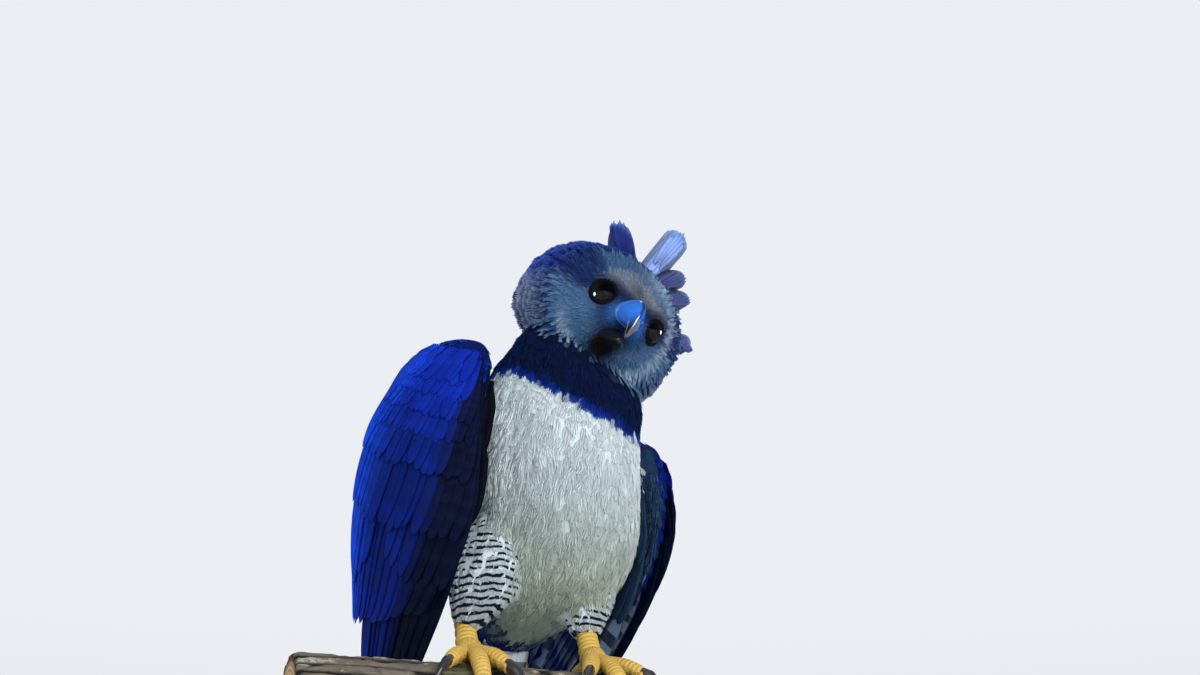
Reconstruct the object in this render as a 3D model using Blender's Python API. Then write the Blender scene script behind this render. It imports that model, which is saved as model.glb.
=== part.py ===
"""A life-size harpy eagle on a cut length of limb, held by a plain display stand.

Row frame: metres, +Z up, the bird faces -Y and its left is +X. The origin is the middle of the
underside of the stand's base. Body sizes are in millimetres in each part's own frame, where the
part faces -Y too, and MM turns them into metres.
"""

import math

import bmesh
import bpy
import numpy as np
from mathutils import Matrix, Vector

MM = 0.001
GAP = 0.3  # mm between touching pieces
CUT_GROWTH = 0.45  # mm that a cutter is grown by, so that its coarse facets still leave the gap

# Stand and perch
BASE_SIZE = (0.40, 0.36, 0.020)
BASE_CENTRE_Y = 0.030
BASE_BEVEL = 0.004
PERCH_RADIUS = 0.085
PERCH_LENGTH = 0.52
PERCH_TOP = 0.31
PERCH_SIDES = 28
ROD_RADIUS = 0.009
ROD_X = 0.15

# Body pose: where the pelvis is and how the trunk stands
PELVIS = Vector((-0.010, 0.061, 0.420))
TRUNK_YAW = 15.0
TRUNK_LEAN_FORWARD = 28.0
TRUNK_LEAN_LEFT = -2.0

# Head pose: it looks down to a viewer on its right, tilted over to its left
HEAD_CENTRE = Vector((0.040, -0.103, 0.675))
LOOK_TO_RIGHT = 20.0
LOOK_DOWN = 25.0
HEAD_TILT = 33.0
BILL_LIFT = 20.0
BILL_TURN = 17.0

# Trunk sections up the spine: height, half width, depth in front, depth behind, shift to the front,
# shift to the bird's left, and tilt in degrees that lowers the left side
TRUNK_SECTIONS = (
    (-85, 24, 17, 15, -24, 16, 0),
    (-62, 48, 36, 28, -19, 20, 0),
    (-32, 74, 64, 42, -10, 25, 0),
    (0, 92, 84, 54, -4, 27, 0),
    (40, 102, 97, 62, 0, 25, 0),
    (85, 107, 105, 68, 0, 18, 1),
    (130, 107, 107, 70, 0, 8, 3),
    (170, 102, 103, 69, 0, 2, 6),
    (200, 97, 95, 66, 3, 1, 10),
    (224, 91, 85, 64, 8, 4, 13),
)
TRUNK_SIDES = 20
# The same values for the collar, which carries the trunk on up into the back of the head
NECK_SECTIONS = (
    (243, 87, 73, 61, 8, 6, 16),
    (261, 77, 58, 57, 6, 10, 19),
    (278, 62, 43, 50, 2, 14, 22),
    (291, 40, 28, 36, -2, 15, 23),
)

# Head rings from nape to bill root: distance in front of the head's centre, half width, up, down
HEAD_RINGS = (
    (-80, 28, 26, 24),
    (-62, 56, 50, 46),
    (-38, 78, 66, 61),
    (-14, 90, 76, 68),
    (4, 92, 78, 71),
    (12, 84, 72, 66),
    (17, 70, 60, 58),
    (24, 56, 47, 49),
    (34, 44, 35, 39),
    (44, 33, 25, 28),
    (51, 20, 16, 19),
)
HEAD_BACK = -86
HEAD_FRONT = 55
HEAD_SIDES = 24

EYE_PLACE = (33.0, -34.0, 5.0)
EYE_RADIUS = 15.0
EYE_OUTWARD = 36.0  # degrees that each eye looks out from straight ahead
LID_RING = 15.1
LID_THICKNESS = 1.9
LID_SET = 6.6  # how far in front of the eye's centre the lids lie

COLOURS = {
    "white_down": ((0.82, 0.84, 0.80), 0.9),
    "collar": ((0.020, 0.030, 0.060), 0.8),
    "slate": ((0.035, 0.060, 0.200), 0.75),
    "face": ((0.26, 0.32, 0.42), 0.85),
    "bill_horn": ((0.09, 0.17, 0.33), 0.3),
    "bill_dark": ((0.02, 0.025, 0.04), 0.4),
    "eye": ((0.006, 0.008, 0.012), 0.05),
    "tail": ((0.05, 0.06, 0.09), 0.75),
    "thigh": ((0.72, 0.75, 0.74), 0.9),
    "leg_skin": ((0.62, 0.47, 0.12), 0.55),
    "claw": ((0.012, 0.012, 0.016), 0.25),
    "bark": ((0.14, 0.12, 0.10), 0.95),
    "base_paint": ((0.10, 0.10, 0.11), 0.5),
    "rod_steel": ((0.50, 0.51, 0.53), 0.3),
}


def clear_scene():
    for obj in list(bpy.data.objects):
        bpy.data.objects.remove(obj)


def material(name):
    """The named finish as a Principled material, made once."""
    found = bpy.data.materials.get(name)
    if found:
        return found
    made = bpy.data.materials.new(name)
    made.use_nodes = True
    colour, roughness = COLOURS[name]
    shader = made.node_tree.nodes["Principled BSDF"]
    shader.inputs["Base Color"].default_value = (*colour, 1)
    shader.inputs["Roughness"].default_value = roughness
    shader.inputs["Metallic"].default_value = 0.9 if name == "rod_steel" else 0.0
    return made


def frame_empty(name, matrix):
    empty = bpy.data.objects.new(name, None)
    bpy.context.scene.collection.objects.link(empty)
    empty.matrix_world = matrix
    return empty


def turned(axis, degrees):
    return Matrix.Rotation(math.radians(degrees), 4, axis)


def add_object(name, points, faces, finish, parent=None, smooth=40.0):
    """A mesh object from points in metres in its parent's frame."""
    mesh = bpy.data.meshes.new(name)
    mesh.from_pydata([tuple(p) for p in points], [], [tuple(int(i) for i in f) for f in faces])
    mesh.update()
    tidy = bmesh.new()
    tidy.from_mesh(mesh)
    bmesh.ops.recalc_face_normals(tidy, faces=tidy.faces)
    tidy.to_mesh(mesh)
    tidy.free()
    obj = bpy.data.objects.new(name, mesh)
    bpy.context.scene.collection.objects.link(obj)
    obj.parent = parent
    obj.data.materials.append(material(finish))
    if smooth:
        mesh.shade_smooth()
        mesh.set_sharp_from_angle(angle=math.radians(smooth))
    return obj


def through(keys, amounts):
    """A smooth curve through evenly spaced keys (Catmull-Rom), which runs on straight past its ends."""
    keys = np.asarray(keys, float)
    ends = np.vstack([2 * keys[0] - keys[1], keys, 2 * keys[-1] - keys[-2]])
    amounts = np.atleast_1d(np.asarray(amounts, float))
    inside = np.clip(amounts, 0, 1)
    place = inside * (len(keys) - 1)
    first = np.minimum(place.astype(int), len(keys) - 2)
    t = (place - first)[:, None]
    a, b, c, d = (ends[first + k] for k in range(4))
    curve = 0.5 * (2 * b + (c - a) * t + (2 * a - 5 * b + 4 * c - d) * t**2 + (3 * b - a - 3 * c + d) * t**3)
    slope = np.where((amounts < 0)[:, None], keys[1] - keys[0], keys[-1] - keys[-2]) * (len(keys) - 1)
    return curve + (amounts - inside)[:, None] * slope


def loft(rings, start_tip=None, end_tip=None, flat=False):
    """Points and faces of a closed skin over rings of equal size. A tip closes an end in a point.

    Flat rings hold an upper row and then a lower row back again, and are closed by a strip.
    """
    rings = [np.asarray(r, float) for r in rings]
    sides = len(rings[0])
    points = [p for ring in rings for p in ring]
    faces = []
    for k in range(len(rings) - 1):
        for i in range(sides):
            j = (i + 1) % sides
            a, b = k * sides + i, k * sides + j
            faces += [(a, b, b + sides), (a, b + sides, a + sides)]
    if flat:
        for base in (0, (len(rings) - 1) * sides):
            for i in range(sides // 2 - 1):
                a, b = base + i, base + sides - 1 - i
                faces += [(a, a + 1, b), (a + 1, b - 1, b)]
        return np.array(points), faces
    for ring, tip, base in ((rings[0], start_tip, 0), (rings[-1], end_tip, (len(rings) - 1) * sides)):
        points.append(np.mean(ring, axis=0) if tip is None else np.asarray(tip, float))
        centre = len(points) - 1
        for i in range(sides):
            faces.append((base + i, base + (i + 1) % sides, centre))
    return np.array(points), faces


def oval(sides, half_width, front, back):
    """Offsets of one section: x to the left, y to the back, with a depth of its own each way."""
    turn = np.linspace(0, 2 * math.pi, sides, endpoint=False)
    return half_width * np.cos(turn), np.where(np.sin(turn) < 0, front, back) * np.sin(turn)


def tube_rings(centres, radii, sides, flatten=1.0, up=(0, 0, 1)):
    """Round rings square to a path, flattened along the path's own up direction."""
    centres = np.asarray(centres, float)
    along = np.gradient(centres, axis=0)
    rings = []
    for centre, direction, radius in zip(centres, along, radii):
        direction = direction / np.linalg.norm(direction)
        side = np.cross(direction, up)
        side /= np.linalg.norm(side)
        lift = np.cross(side, direction)
        turn = np.linspace(0, 2 * math.pi, sides, endpoint=False)
        round_path = np.outer(np.cos(turn), side) + flatten * np.outer(np.sin(turn), lift)
        rings.append(centre + radius * round_path)
    return rings


def ball(centre, radius, sides=20, rings=12, axis=(0, -1, 0)):
    """Points and faces of a round ball whose poles lie on an axis."""
    pole = np.asarray(axis, float) / np.linalg.norm(axis)
    turn_to = Vector((0, 0, 1)).rotation_difference(Vector(pole)).to_matrix()
    turn = np.linspace(0, 2 * math.pi, sides, endpoint=False)
    made = []
    for k in range(1, rings):
        angle = math.pi * k / rings
        out = math.sin(angle)
        made.append(np.stack([np.cos(turn) * out, np.sin(turn) * out, np.full(sides, -math.cos(angle))], 1))
    points, faces = loft(made, (0, 0, -1), (0, 0, 1))
    return points @ np.array(turn_to).T * radius + np.asarray(centre, float), faces


def grown(obj, amount):
    """A hidden copy of an object, moved out along its normals, to cut its neighbours clear of it."""
    copy = obj.copy()
    copy.data = obj.data.copy()
    bpy.context.scene.collection.objects.link(copy)
    normals = [v.normal.copy() for v in copy.data.vertices]
    for vertex, normal in zip(copy.data.vertices, normals):
        vertex.co += normal * (amount * MM)
    return copy


def apply_boolean(obj, others, operation):
    """Joins or cuts obj by a collection of closed objects, which are then removed."""
    group = bpy.data.collections.new(obj.name + "_" + operation.lower())
    bpy.context.scene.collection.children.link(group)
    for other in others:
        for user in list(other.users_collection):
            user.objects.unlink(other)
        group.objects.link(other)
    modifier = obj.modifiers.new(operation.title(), "BOOLEAN")
    modifier.operation = operation
    modifier.operand_type = "COLLECTION"
    modifier.collection = group
    modifier.solver = "EXACT"
    bpy.context.view_layer.update()
    graph = bpy.context.evaluated_depsgraph_get()
    made = bpy.data.meshes.new_from_object(obj.evaluated_get(graph))
    obj.modifiers.clear()
    old = obj.data
    obj.data = made
    bpy.data.meshes.remove(old)
    for other in list(group.objects):
        bpy.data.objects.remove(other)
    bpy.data.collections.remove(group)


def keep_largest(obj):
    """Leaves only the largest closed surface of a mesh."""
    mesh = bmesh.new()
    mesh.from_mesh(obj.data)
    bmesh.ops.triangulate(mesh, faces=mesh.faces)
    left, parts = set(mesh.faces), []
    while left:
        part, edge = set(), [left.pop()]
        while edge:
            face = edge.pop()
            part.add(face)
            for loop in face.loops:
                other = loop.link_loop_radial_next.face
                if other in left:
                    left.discard(other)
                    edge.append(other)
        parts.append(part)

    def volume(part):
        return sum(
            f.verts[0].co.dot(f.verts[1].co.cross(f.verts[2].co)) for f in part
        ) / 6

    parts.sort(key=lambda p: abs(volume(p)))
    drop = [f for part in parts[:-1] for f in part]
    bmesh.ops.delete(mesh, geom=drop, context="FACES")
    bmesh.ops.delete(mesh, geom=[v for v in mesh.verts if not v.link_faces], context="VERTS")
    mesh.to_mesh(obj.data)
    mesh.free()
    obj.data.update()


def fuse(obj, pieces):
    apply_boolean(obj, pieces, "UNION")
    keep_largest(obj)


def cut(obj, cutters):
    apply_boolean(obj, cutters, "DIFFERENCE")
    keep_largest(obj)


class Sheet:
    """A curved surface between a leading and a trailing edge, on which feathers are laid.

    s runs from the leading edge to the trailing edge, and l from the wrist or root to the tips.
    Both edges are smooth curves through keys in mm, and the middle bulges outwards.
    """

    def __init__(self, leading, trailing, bulge, outward):
        self.leading = leading
        self.trailing = trailing
        self.bulge = np.asarray(bulge, float)[:, None]
        self.outward = np.asarray(outward, float)

    def point(self, s, l):
        s = np.atleast_1d(np.asarray(s, float))
        front, back = through(self.leading, l), through(self.trailing, l)
        swell = through(self.bulge, l) * np.sin(math.pi * np.clip(s, 0, 1))[:, None]
        return front + (back - front) * s[:, None] + swell * self.outward

    def normal(self, s, l, step=0.01):
        s, l = np.atleast_1d(np.asarray(s, float)), np.atleast_1d(np.asarray(l, float))
        low, high = np.clip(s, step, 1 - step), np.clip(l, step, 1 - step)
        across = self.point(low + step, high) - self.point(low - step, high)
        down = self.point(low, high + step) - self.point(low, high - step)
        normal = np.cross(across, down)
        normal /= np.linalg.norm(normal, axis=1)[:, None]
        return normal * np.sign(normal @ self.outward)[:, None]


# Where a vane's stations stand along it, and how wide it is there as a share of its full width
FLIGHT_SHAPE = ((0.0, 0.30), (0.26, 0.84), (0.66, 1.0), (0.91, 0.84), (1.0, 0.36))
COVERT_SHAPE = ((0.0, 0.38), (0.45, 1.0), (0.86, 0.84), (1.0, 0.34))
LOCK_SHAPE = ((0.0, 0.45), (0.50, 1.0), (0.84, 0.74), (1.0, 0.22))
LESSER_SHAPE = ((0.0, 0.40), (0.62, 1.0), (1.0, 0.40))
VANE_EDGE = 0.55  # thickness of a vane's edges as a share of its middle


def vane_mesh(stations, lifts, thickness):
    """One closed vane from three points across at each station, with both faces split alike."""
    heights = np.array((VANE_EDGE, 1.0, VANE_EDGE)) * thickness / 2
    points, faces = [], []
    for across, lift in zip(stations, lifts):
        points += [p + lift * h for p, h in zip(across, heights)]
        points += [p - lift * h for p, h in zip(across[::-1], heights[::-1])]
    last = 6 * (len(stations) - 1)
    for a in range(0, last, 6):
        b = a + 6
        for i, j in ((0, 1), (1, 2), (2, 3), (5, 0)):
            faces += [(a + i, a + j, b + j), (a + i, b + j, b + i)]
        for i, j in ((3, 4), (4, 5)):
            faces += [(a + i, a + j, b + i), (a + j, b + j, b + i)]
    for a, turn in ((0, -1), (last, 1)):
        for cap in ((0, 1, 5), (1, 4, 5), (1, 2, 4), (2, 3, 4)):
            faces.append(tuple(a + i for i in cap[::turn]))
    return np.array(points), faces


def sheet_vane(sheet, root, tip, width, heights, tilt, thickness, shape):
    """A vane that follows a sheet from root to tip, each (s, l), at a height off it, shingled by its tilt."""
    share = np.array([t for t, _ in shape])
    half = np.array([w for _, w in shape]) * width / 2
    s = root[0] + (tip[0] - root[0]) * share
    l = root[1] + (tip[1] - root[1]) * share
    rise = np.interp(share, (0, 0.4, 1), heights)
    step = 0.01
    by_s = (sheet.point(s + step, l) - sheet.point(s - step, l)) / (2 * step)
    by_l = (sheet.point(s, l + step) - sheet.point(s, l - step)) / (2 * step)
    along = by_s * (tip[0] - root[0]) + by_l * (tip[1] - root[1])
    along /= np.linalg.norm(along, axis=1)[:, None]
    side = np.cross(along, sheet.normal(s, l))
    side *= np.sign(np.sum(side * by_s, axis=1))[:, None]
    side /= np.linalg.norm(side, axis=1)[:, None]
    stations = np.empty((len(share), 3, 3))
    lifts = sheet.normal(s, l)
    for k in range(len(share)):
        move = np.linalg.lstsq(np.stack([by_s[k], by_l[k]], 1), side[k], rcond=None)[0]
        for i, reach in enumerate((-half[k], 0.0, half[k])):
            place = sheet.point(s[k] + move[0] * reach, l[k] + move[1] * reach)[0]
            stations[k, i] = place + lifts[k] * (rise[k] - tilt * reach)
    return vane_mesh(stations, lifts, thickness)


def free_vane(root, tip, side, width, bend, thickness, shape):
    """A vane from root to tip, bowed by bend at its middle, as wide as its shape says along side."""
    share = np.array([t for t, _ in shape])
    half = np.array([w for _, w in shape]) * width / 2
    root, tip = np.asarray(root, float), np.asarray(tip, float)
    middle = root + np.outer(share, tip - root) + np.outer(4 * share * (1 - share), bend)
    along = np.gradient(middle, axis=0)
    along /= np.linalg.norm(along, axis=1)[:, None]
    across = side - along * (along @ np.asarray(side, float))[:, None]
    across /= np.linalg.norm(across, axis=1)[:, None]
    reach = half[:, None] * np.array((-1, 0, 1))
    stations = middle[:, None, :] + across[:, None, :] * reach[:, :, None]
    return vane_mesh(stations, np.cross(along, across), thickness)


def plate(sheet, rings, sides=8):
    """A closed plate along a sheet. A ring is l, s from, s to, and its outer and inner height in mm."""
    made = []
    for l, start, end, outer, inner in rings:
        s = np.linspace(start, end, sides)
        points, normals = sheet.point(s, np.full(sides, l)), sheet.normal(s, np.full(sides, l))
        fullness = np.sqrt(np.clip(1 - np.linspace(-1, 1, sides) ** 6, 0.12, 1))
        middle = (outer + inner) / 2
        upper = points + normals * (middle + (outer - middle) * fullness)[:, None]
        lower = points + normals * (middle + (inner - middle) * fullness)[:, None]
        made.append(np.vstack([upper, lower[::-1]]))
    return loft(made, flat=True)


def helper(points, faces, parent):
    """A closed piece that is fused into a node straight after it is made."""
    return add_object("piece", np.asarray(points) * MM, faces, "slate", parent, smooth=0)


def trunk_ring(section):
    height, half_width, front, back, forward, left, tilt = section
    x, y = oval(TRUNK_SIDES, half_width, front, back)
    drop = math.radians(tilt)
    return np.stack([left + x * math.cos(drop), y - forward, height - x * math.sin(drop)], 1)


def make_torso(body):
    rings = [trunk_ring(s) for s in TRUNK_SECTIONS]
    rump = (0, 26, -92)
    points, faces = loft(rings, rump, None)
    return add_object("torso", points * MM, faces, "white_down", body)


def head_rings():
    rings = []
    for front, half_width, up, down in HEAD_RINGS:
        turn = np.linspace(0, 2 * math.pi, HEAD_SIDES, endpoint=False)
        height = np.where(np.sin(turn) > 0, up, down) * np.sin(turn)
        rings.append(np.stack([half_width * np.cos(turn), np.full(HEAD_SIDES, -float(front)), height], 1))
    return rings


def make_head_core(head):
    points, faces = loft(head_rings(), (0, -HEAD_BACK, 0), (0, -HEAD_FRONT, -2))
    return add_object("head", points * MM, faces, "face", head)


# Ruff: each tier's count, where its locks are rooted (share of the rim, distance in front),
# how far they stand out of the rim, how far back their tips lie, and their width
RUFF_TIERS = (
    (17, 0.82, -1, 14, -13, 37),
    (12, 0.88, -25, 17, -46, 50),
)
RIM = (91.0, 77.0, 70.0)  # the face's rim: half width, up and down
FEATHER = 1.3  # thickness in mm of the ruff's locks and the crest's feathers
JOWL = 20.0  # mm that the locks under the cheeks hang lower than the others
JOWL_SPREAD = 26.0  # degrees round the rim
JOWLS = ((-52.0, 1.0), (-128.0, 0.45))  # each jowl's angle round the rim, and its share of the hang


def rim_point(angle, share):
    half_width, up, down = RIM
    height = up if math.sin(angle) > 0 else down
    return np.array((half_width * math.cos(angle), 0.0, height * math.sin(angle))) * share


def ruff_vanes():
    vanes = []
    for count, share, front, stand, back, width in RUFF_TIERS:
        for k in range(count):
            angle = 2 * math.pi * (k + 0.5) / count
            out = rim_point(angle, 1.0)
            out /= np.linalg.norm(out)
            degrees = (math.degrees(angle) + 180) % 360 - 180
            hang = JOWL * sum(
                share_of * math.exp(-(((degrees - middle) / JOWL_SPREAD) ** 2))
                for middle, share_of in JOWLS
            )
            root = rim_point(angle, share) + np.array((0, -front, 0))
            tip = rim_point(angle, 1.0) + out * (stand + hang) + np.array((0, -back, 0))
            side = np.cross(out, (0, 1, 0)) + np.array((0, 0.16, 0))
            vanes.append(free_vane(root, tip, side, width, out * 2.0 - (0, 3.5, 0), FEATHER, LOCK_SHAPE))
    return vanes


# Crest feathers: root and tip as (to the left, back, up), and width
CREST = (
    ((36, 32, 48), (40, 46, 149), 32),
    ((22, 41, 53), (23, 62, 140), 30),
    ((52, 36, 38), (62, 50, 112), 24),
    ((-8, 33, 56), (-22, 44, 119), 31),
    ((-26, 41, 50), (-42, 58, 108), 27),
    ((38, 52, 40), (48, 88, 116), 26),
    ((8, 54, 48), (8, 86, 118), 27),
    ((-16, 56, 46), (-26, 92, 102), 26),
    ((70, 10, 22), (103, 20, 34), 18),
)


def crest_vanes():
    return [
        free_vane(root, tip, (1, 0.10, 0), width, (0, 5, 0), FEATHER, COVERT_SHAPE)
        for root, tip, width in CREST
    ]


def ring_tube(centre, axis, radius, thickness, around=14, sides=5):
    """A closed ring of round section about an axis."""
    axis = np.asarray(axis, float) / np.linalg.norm(axis)
    first = np.cross(axis, (0, 0, 1))
    first /= np.linalg.norm(first)
    second = np.cross(axis, first)
    points, faces = [], []
    for k in range(around):
        t = 2 * math.pi * k / around
        out = math.cos(t) * first + math.sin(t) * second
        for i in range(sides):
            u = 2 * math.pi * i / sides
            reach = radius + thickness * math.cos(u)
            points.append(centre + out * reach + axis * (thickness * math.sin(u)))
    for k in range(around):
        for i in range(sides):
            a, b = k * sides + i, k * sides + (i + 1) % sides
            c, d = ((k + 1) % around) * sides + i, ((k + 1) % around) * sides + (i + 1) % sides
            faces += [(a, b, d), (a, d, c)]
    return np.array(points), faces


# Soft forms on one side of the face: path as (to the left, front, up), and a radius for each point
BROW = (((19, 48, 20), (30, 46, 23), (42, 38, 22), (52, 27, 15)), (3.5, 5.5, 5.5, 3.5))
GAPE = (((17, 43, -15), (22, 38, -17), (28, 32, -18), (34, 26, -18)), (2.2, 2.6, 2.4, 1.4))


def face_forms():
    """Lids, brows and the fleshy corners of the mouth, each sunk well into the face."""
    pieces = []
    for side in (-1, 1):
        middle = eye_centre(side) + eye_axis(side) * LID_SET
        pieces.append(ring_tube(middle, eye_axis(side), LID_RING, LID_THICKNESS))
        for path, radii in (BROW, GAPE):
            spots = [(side * x, -front, up) for x, front, up in path]
            spots = through(spots, np.linspace(0, 1, 6))
            sizes = np.interp(np.linspace(0, 1, 6), np.linspace(0, 1, len(radii)), radii)
            pieces.append(loft(tube_rings(spots, sizes, 6)))
    return pieces


def eye_centre(side):
    return np.array((side * EYE_PLACE[0], EYE_PLACE[1], EYE_PLACE[2]))


def eye_axis(side):
    turn = math.radians(EYE_OUTWARD)
    return np.array((side * math.sin(turn), -math.cos(turn), 0.0))


# Bill sections: culmen (front, height), cutting edge (front, height), width
BILL_SECTIONS = (
    ((36, 19), (31, -14), 37),
    ((50, 18), (43, -15), 35),
    ((62, 15.5), (53, -16), 30),
    ((71, 10), (60, -18), 25),
    ((78, 2), (66, -20), 19.5),
    ((81, -9), (71, -23), 14.5),
    ((80.5, -20), (74, -26.5), 9.5),
    ((78.5, -30), (75, -32), 5),
)
BILL_TIP = (76, -38)
JAW_SECTIONS = (
    ((33, -17), (24, -35), 31),
    ((44, -20), (38, -39), 28),
    ((54, -25), (49, -41), 22),
    ((62, -30), (58, -41), 15),
    ((67, -35), (65, -39.5), 8),
)
BILL_SQUARENESS = 0.42  # how much wider a section is near its cutting edge than near its ridge
BILL_SIDES = 12
NOSTRIL_PLACE = (16.5, -47.0, 5.0)
NOSTRIL_SIZE = (3.0, 2.0, 4.2)


def bill_rings(sections):
    rings = []
    for top, low, width in sections:
        top, low = np.array(top, float), np.array(low, float)
        middle, half = (top + low) / 2, (top - low) / 2
        turn = np.linspace(0, 2 * math.pi, BILL_SIDES, endpoint=False)
        spread = np.cos(turn) * width / 2 * (1 - BILL_SQUARENESS * np.sin(turn))
        along = middle + np.outer(np.sin(turn), half)
        rings.append(np.stack([spread, -along[:, 0], along[:, 1]], 1))
    return rings


def make_bill(head):
    points, faces = loft(bill_rings(BILL_SECTIONS), None, (0, -BILL_TIP[0], BILL_TIP[1]))
    upper = add_object("bill_upper", points * MM, faces, "bill_horn", head)
    nostrils = [
        ball((side * NOSTRIL_PLACE[0], NOSTRIL_PLACE[1], NOSTRIL_PLACE[2]), 1.0, 8, 6, (side, 0, 0))
        for side in (-1, 1)
    ]
    pits = []
    for points_of, faces_of in nostrils:
        middle = points_of.mean(axis=0)
        pits.append(helper(middle + (points_of - middle) * NOSTRIL_SIZE, faces_of, head))
    cut(upper, pits)
    points, faces = loft(bill_rings(JAW_SECTIONS))
    lower = add_object("bill_lower", points * MM, faces, "bill_dark", head)
    return upper, lower


def make_eyes(head):
    eyes = []
    for name, side in (("eye_left", 1), ("eye_right", -1)):
        points, faces = ball(eye_centre(side), EYE_RADIUS, 14, 8, eye_axis(side))
        eyes.append(add_object(name, points * MM, faces, "eye", head))
    return eyes


def make_neck(body):
    """The collar, from the top of the trunk up into the back of the head."""
    rings = [trunk_ring(TRUNK_SECTIONS[-1]) + np.array((0, 0, GAP))]
    rings += [trunk_ring(s) for s in NECK_SECTIONS]
    points, faces = loft(rings)
    return add_object("neck", points * MM, faces, "collar", body)


WING_RIGHT = Sheet(
    leading=(
        (-114, -4, 248),
        (-120, -50, 170),
        (-124, -86, 86),
        (-126, -72, -10),
        (-120, -14, -126),
        (-104, 48, -246),
    ),
    trailing=(
        (-130, 22, 240),
        (-158, 68, 182),
        (-170, 104, 112),
        (-162, 122, 22),
        (-136, 120, -90),
        (-100, 102, -212),
    ),
    bulge=(6, 14, 20, 19, 14, 6),
    outward=(-1, 0, 0),
)
WING_LEFT = Sheet(
    leading=(
        (114, -50, 162),
        (130, -72, 80),
        (134, -56, -8),
        (126, -26, -96),
        (112, 18, -180),
        (90, 58, -262),
    ),
    trailing=(
        (102, -8, 176),
        (92, 58, 152),
        (68, 88, 84),
        (50, 94, -2),
        (40, 92, -96),
        (40, 100, -196),
    ),
    bulge=(8, 16, 22, 20, 14, 6),
    outward=(0.85, 0.5, 0),
)
# The upper arm on each side, from the wing's sheet (s, l) to a point in the trunk, and its radii
SHOULDERS = {
    "wing_right": ((0.50, 0.23), (-60, 22, 140), (17, 24, 32)),
    "wing_left": ((0.55, 0.22), (60, 20, 100), (16, 22, 28)),
}
SHOULDER_DEPTH = 14.0  # mm that the arm starts under the sheet
SHOULDER_FLATTEN = 2.1


# The arm under each wing's coverts, as rings of a plate
WING_ARM = (
    (-0.040, 0.30, 0.66, -3, -15),
    (-0.022, 0.12, 0.88, 6, -21),
    (0.025, 0.0, 1.0, 13, -24),
    (0.080, 0.0, 1.0, 15, -24),
    (0.140, 0.0, 1.0, 13, -24),
    (0.230, 0.0, 1.0, 8, -23),
    (0.330, 0.0, 1.0, 3, -20),
    (0.400, 0.02, 0.98, -2, -17),
    (0.460, 0.05, 0.92, -7, -14),
)


class Tier:
    """One row of a wing's vanes, from the leading edge to the trailing one.

    root_s and tip_s are the first and last vane's places across the wing, root_l is where all are
    rooted, and tip_l holds how far down their tips reach across the row. heights are off the sheet.
    """

    def __init__(self, count, root_s, root_l, tip_s, tip_l, width, heights, climb=0.0, shape=COVERT_SHAPE):
        self.count = count
        self.root_s = root_s
        self.root_l = root_l
        self.tip_s = tip_s
        self.tip_l = tip_l
        self.width = width
        self.heights = heights
        self.climb = climb
        self.shape = shape

    def vanes(self, sheet):
        down = np.linspace(0, 1, len(self.tip_l))
        for k in range(self.count):
            t = k / (self.count - 1)
            root = (np.interp(t, (0, 1), self.root_s), self.root_l)
            tip = (np.interp(t, (0, 1), self.tip_s), np.interp(t, down, self.tip_l))
            heights = [h + self.climb * k for h in self.heights]
            yield sheet_vane(sheet, root, tip, self.width, heights, WING_TILT, WING_VANE, self.shape)


WING_TILT = 0.14  # how steeply each vane leans over the next one
WING_VANE = 1.2  # thickness in mm
# Primaries, secondaries, greater coverts, median coverts and lesser coverts
WING_TIERS = (
    Tier(
        6, (0.10, 0.62), 0.36, (0.04, 0.62), (0.90, 1.0, 0.98, 0.92), 34, (-13, -13, -13), 0.8, FLIGHT_SHAPE
    ),
    Tier(8, (0.14, 0.90), 0.30, (0.14, 0.88), (0.68, 0.76, 0.80), 46, (-4, -4, -5), shape=FLIGHT_SHAPE),
    Tier(7, (0.08, 0.91), 0.21, (0.08, 0.91), (0.50, 0.54, 0.56), 44, (3, 3, 2)),
    Tier(6, (0.10, 0.89), 0.12, (0.12, 0.90), (0.33, 0.36, 0.38), 44, (9, 9.5, 8.5)),
    Tier(5, (0.18, 0.82), 0.03, (0.18, 0.84), (0.18, 0.21, 0.22), 42, (9, 15.5, 15), shape=LESSER_SHAPE),
)


def upper_arm(name, sheet):
    """A rounded arm that carries the wing on the trunk's shoulder."""
    (s, l), shoulder, radii = SHOULDERS[name]
    start = (sheet.point(s, l) - sheet.normal(s, l) * SHOULDER_DEPTH)[0]
    spots = [start + (np.array(shoulder) - start) * t for t in np.linspace(0, 1, len(radii))]
    return loft(tube_rings(spots, radii, 12, SHOULDER_FLATTEN))


def make_wing(name, sheet, body, torso):
    points, faces = plate(sheet, WING_ARM)
    wing = add_object(name, points * MM, faces, "slate", body)
    vanes = [vane for tier in WING_TIERS for vane in tier.vanes(sheet)]
    fuse(wing, [helper(*piece, body) for piece in [upper_arm(name, sheet)] + vanes])
    cut(wing, [grown(torso, CUT_GROWTH)])


TAIL = Sheet(
    leading=((-12, 40, -60), (-22, 44, -182), (-34, 50, -318), (-38, 56, -452)),
    trailing=((44, 40, -60), (52, 44, -182), (62, 50, -318), (64, 56, -452)),
    bulge=(4, 5, 5, 5),
    outward=(0, 1, 0),
)
TAIL_ROOT = (
    (0.0, 0.10, 0.90, 6, -18),
    (0.06, 0.0, 1.0, 8, -20),
    (0.16, 0.0, 1.0, 5, -18),
    (0.24, 0.10, 0.90, 0, -14),
)
RECTRICES_A_SIDE = 6
RECTRIX_STEP = 3.0  # mm that each feather lies below the next one in
RECTRIX_WIDTH = 44
RECTRIX_THICKNESS = 1.0
TOP_RECTRIX = 2.0  # height of the uppermost feather off the tail's sheet
TAIL_COVERTS = 5
TAIL_COVERT_WIDTH = 26
TAIL_COVERT_HEIGHTS = (5.0, 8.0, 6.5)


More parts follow.
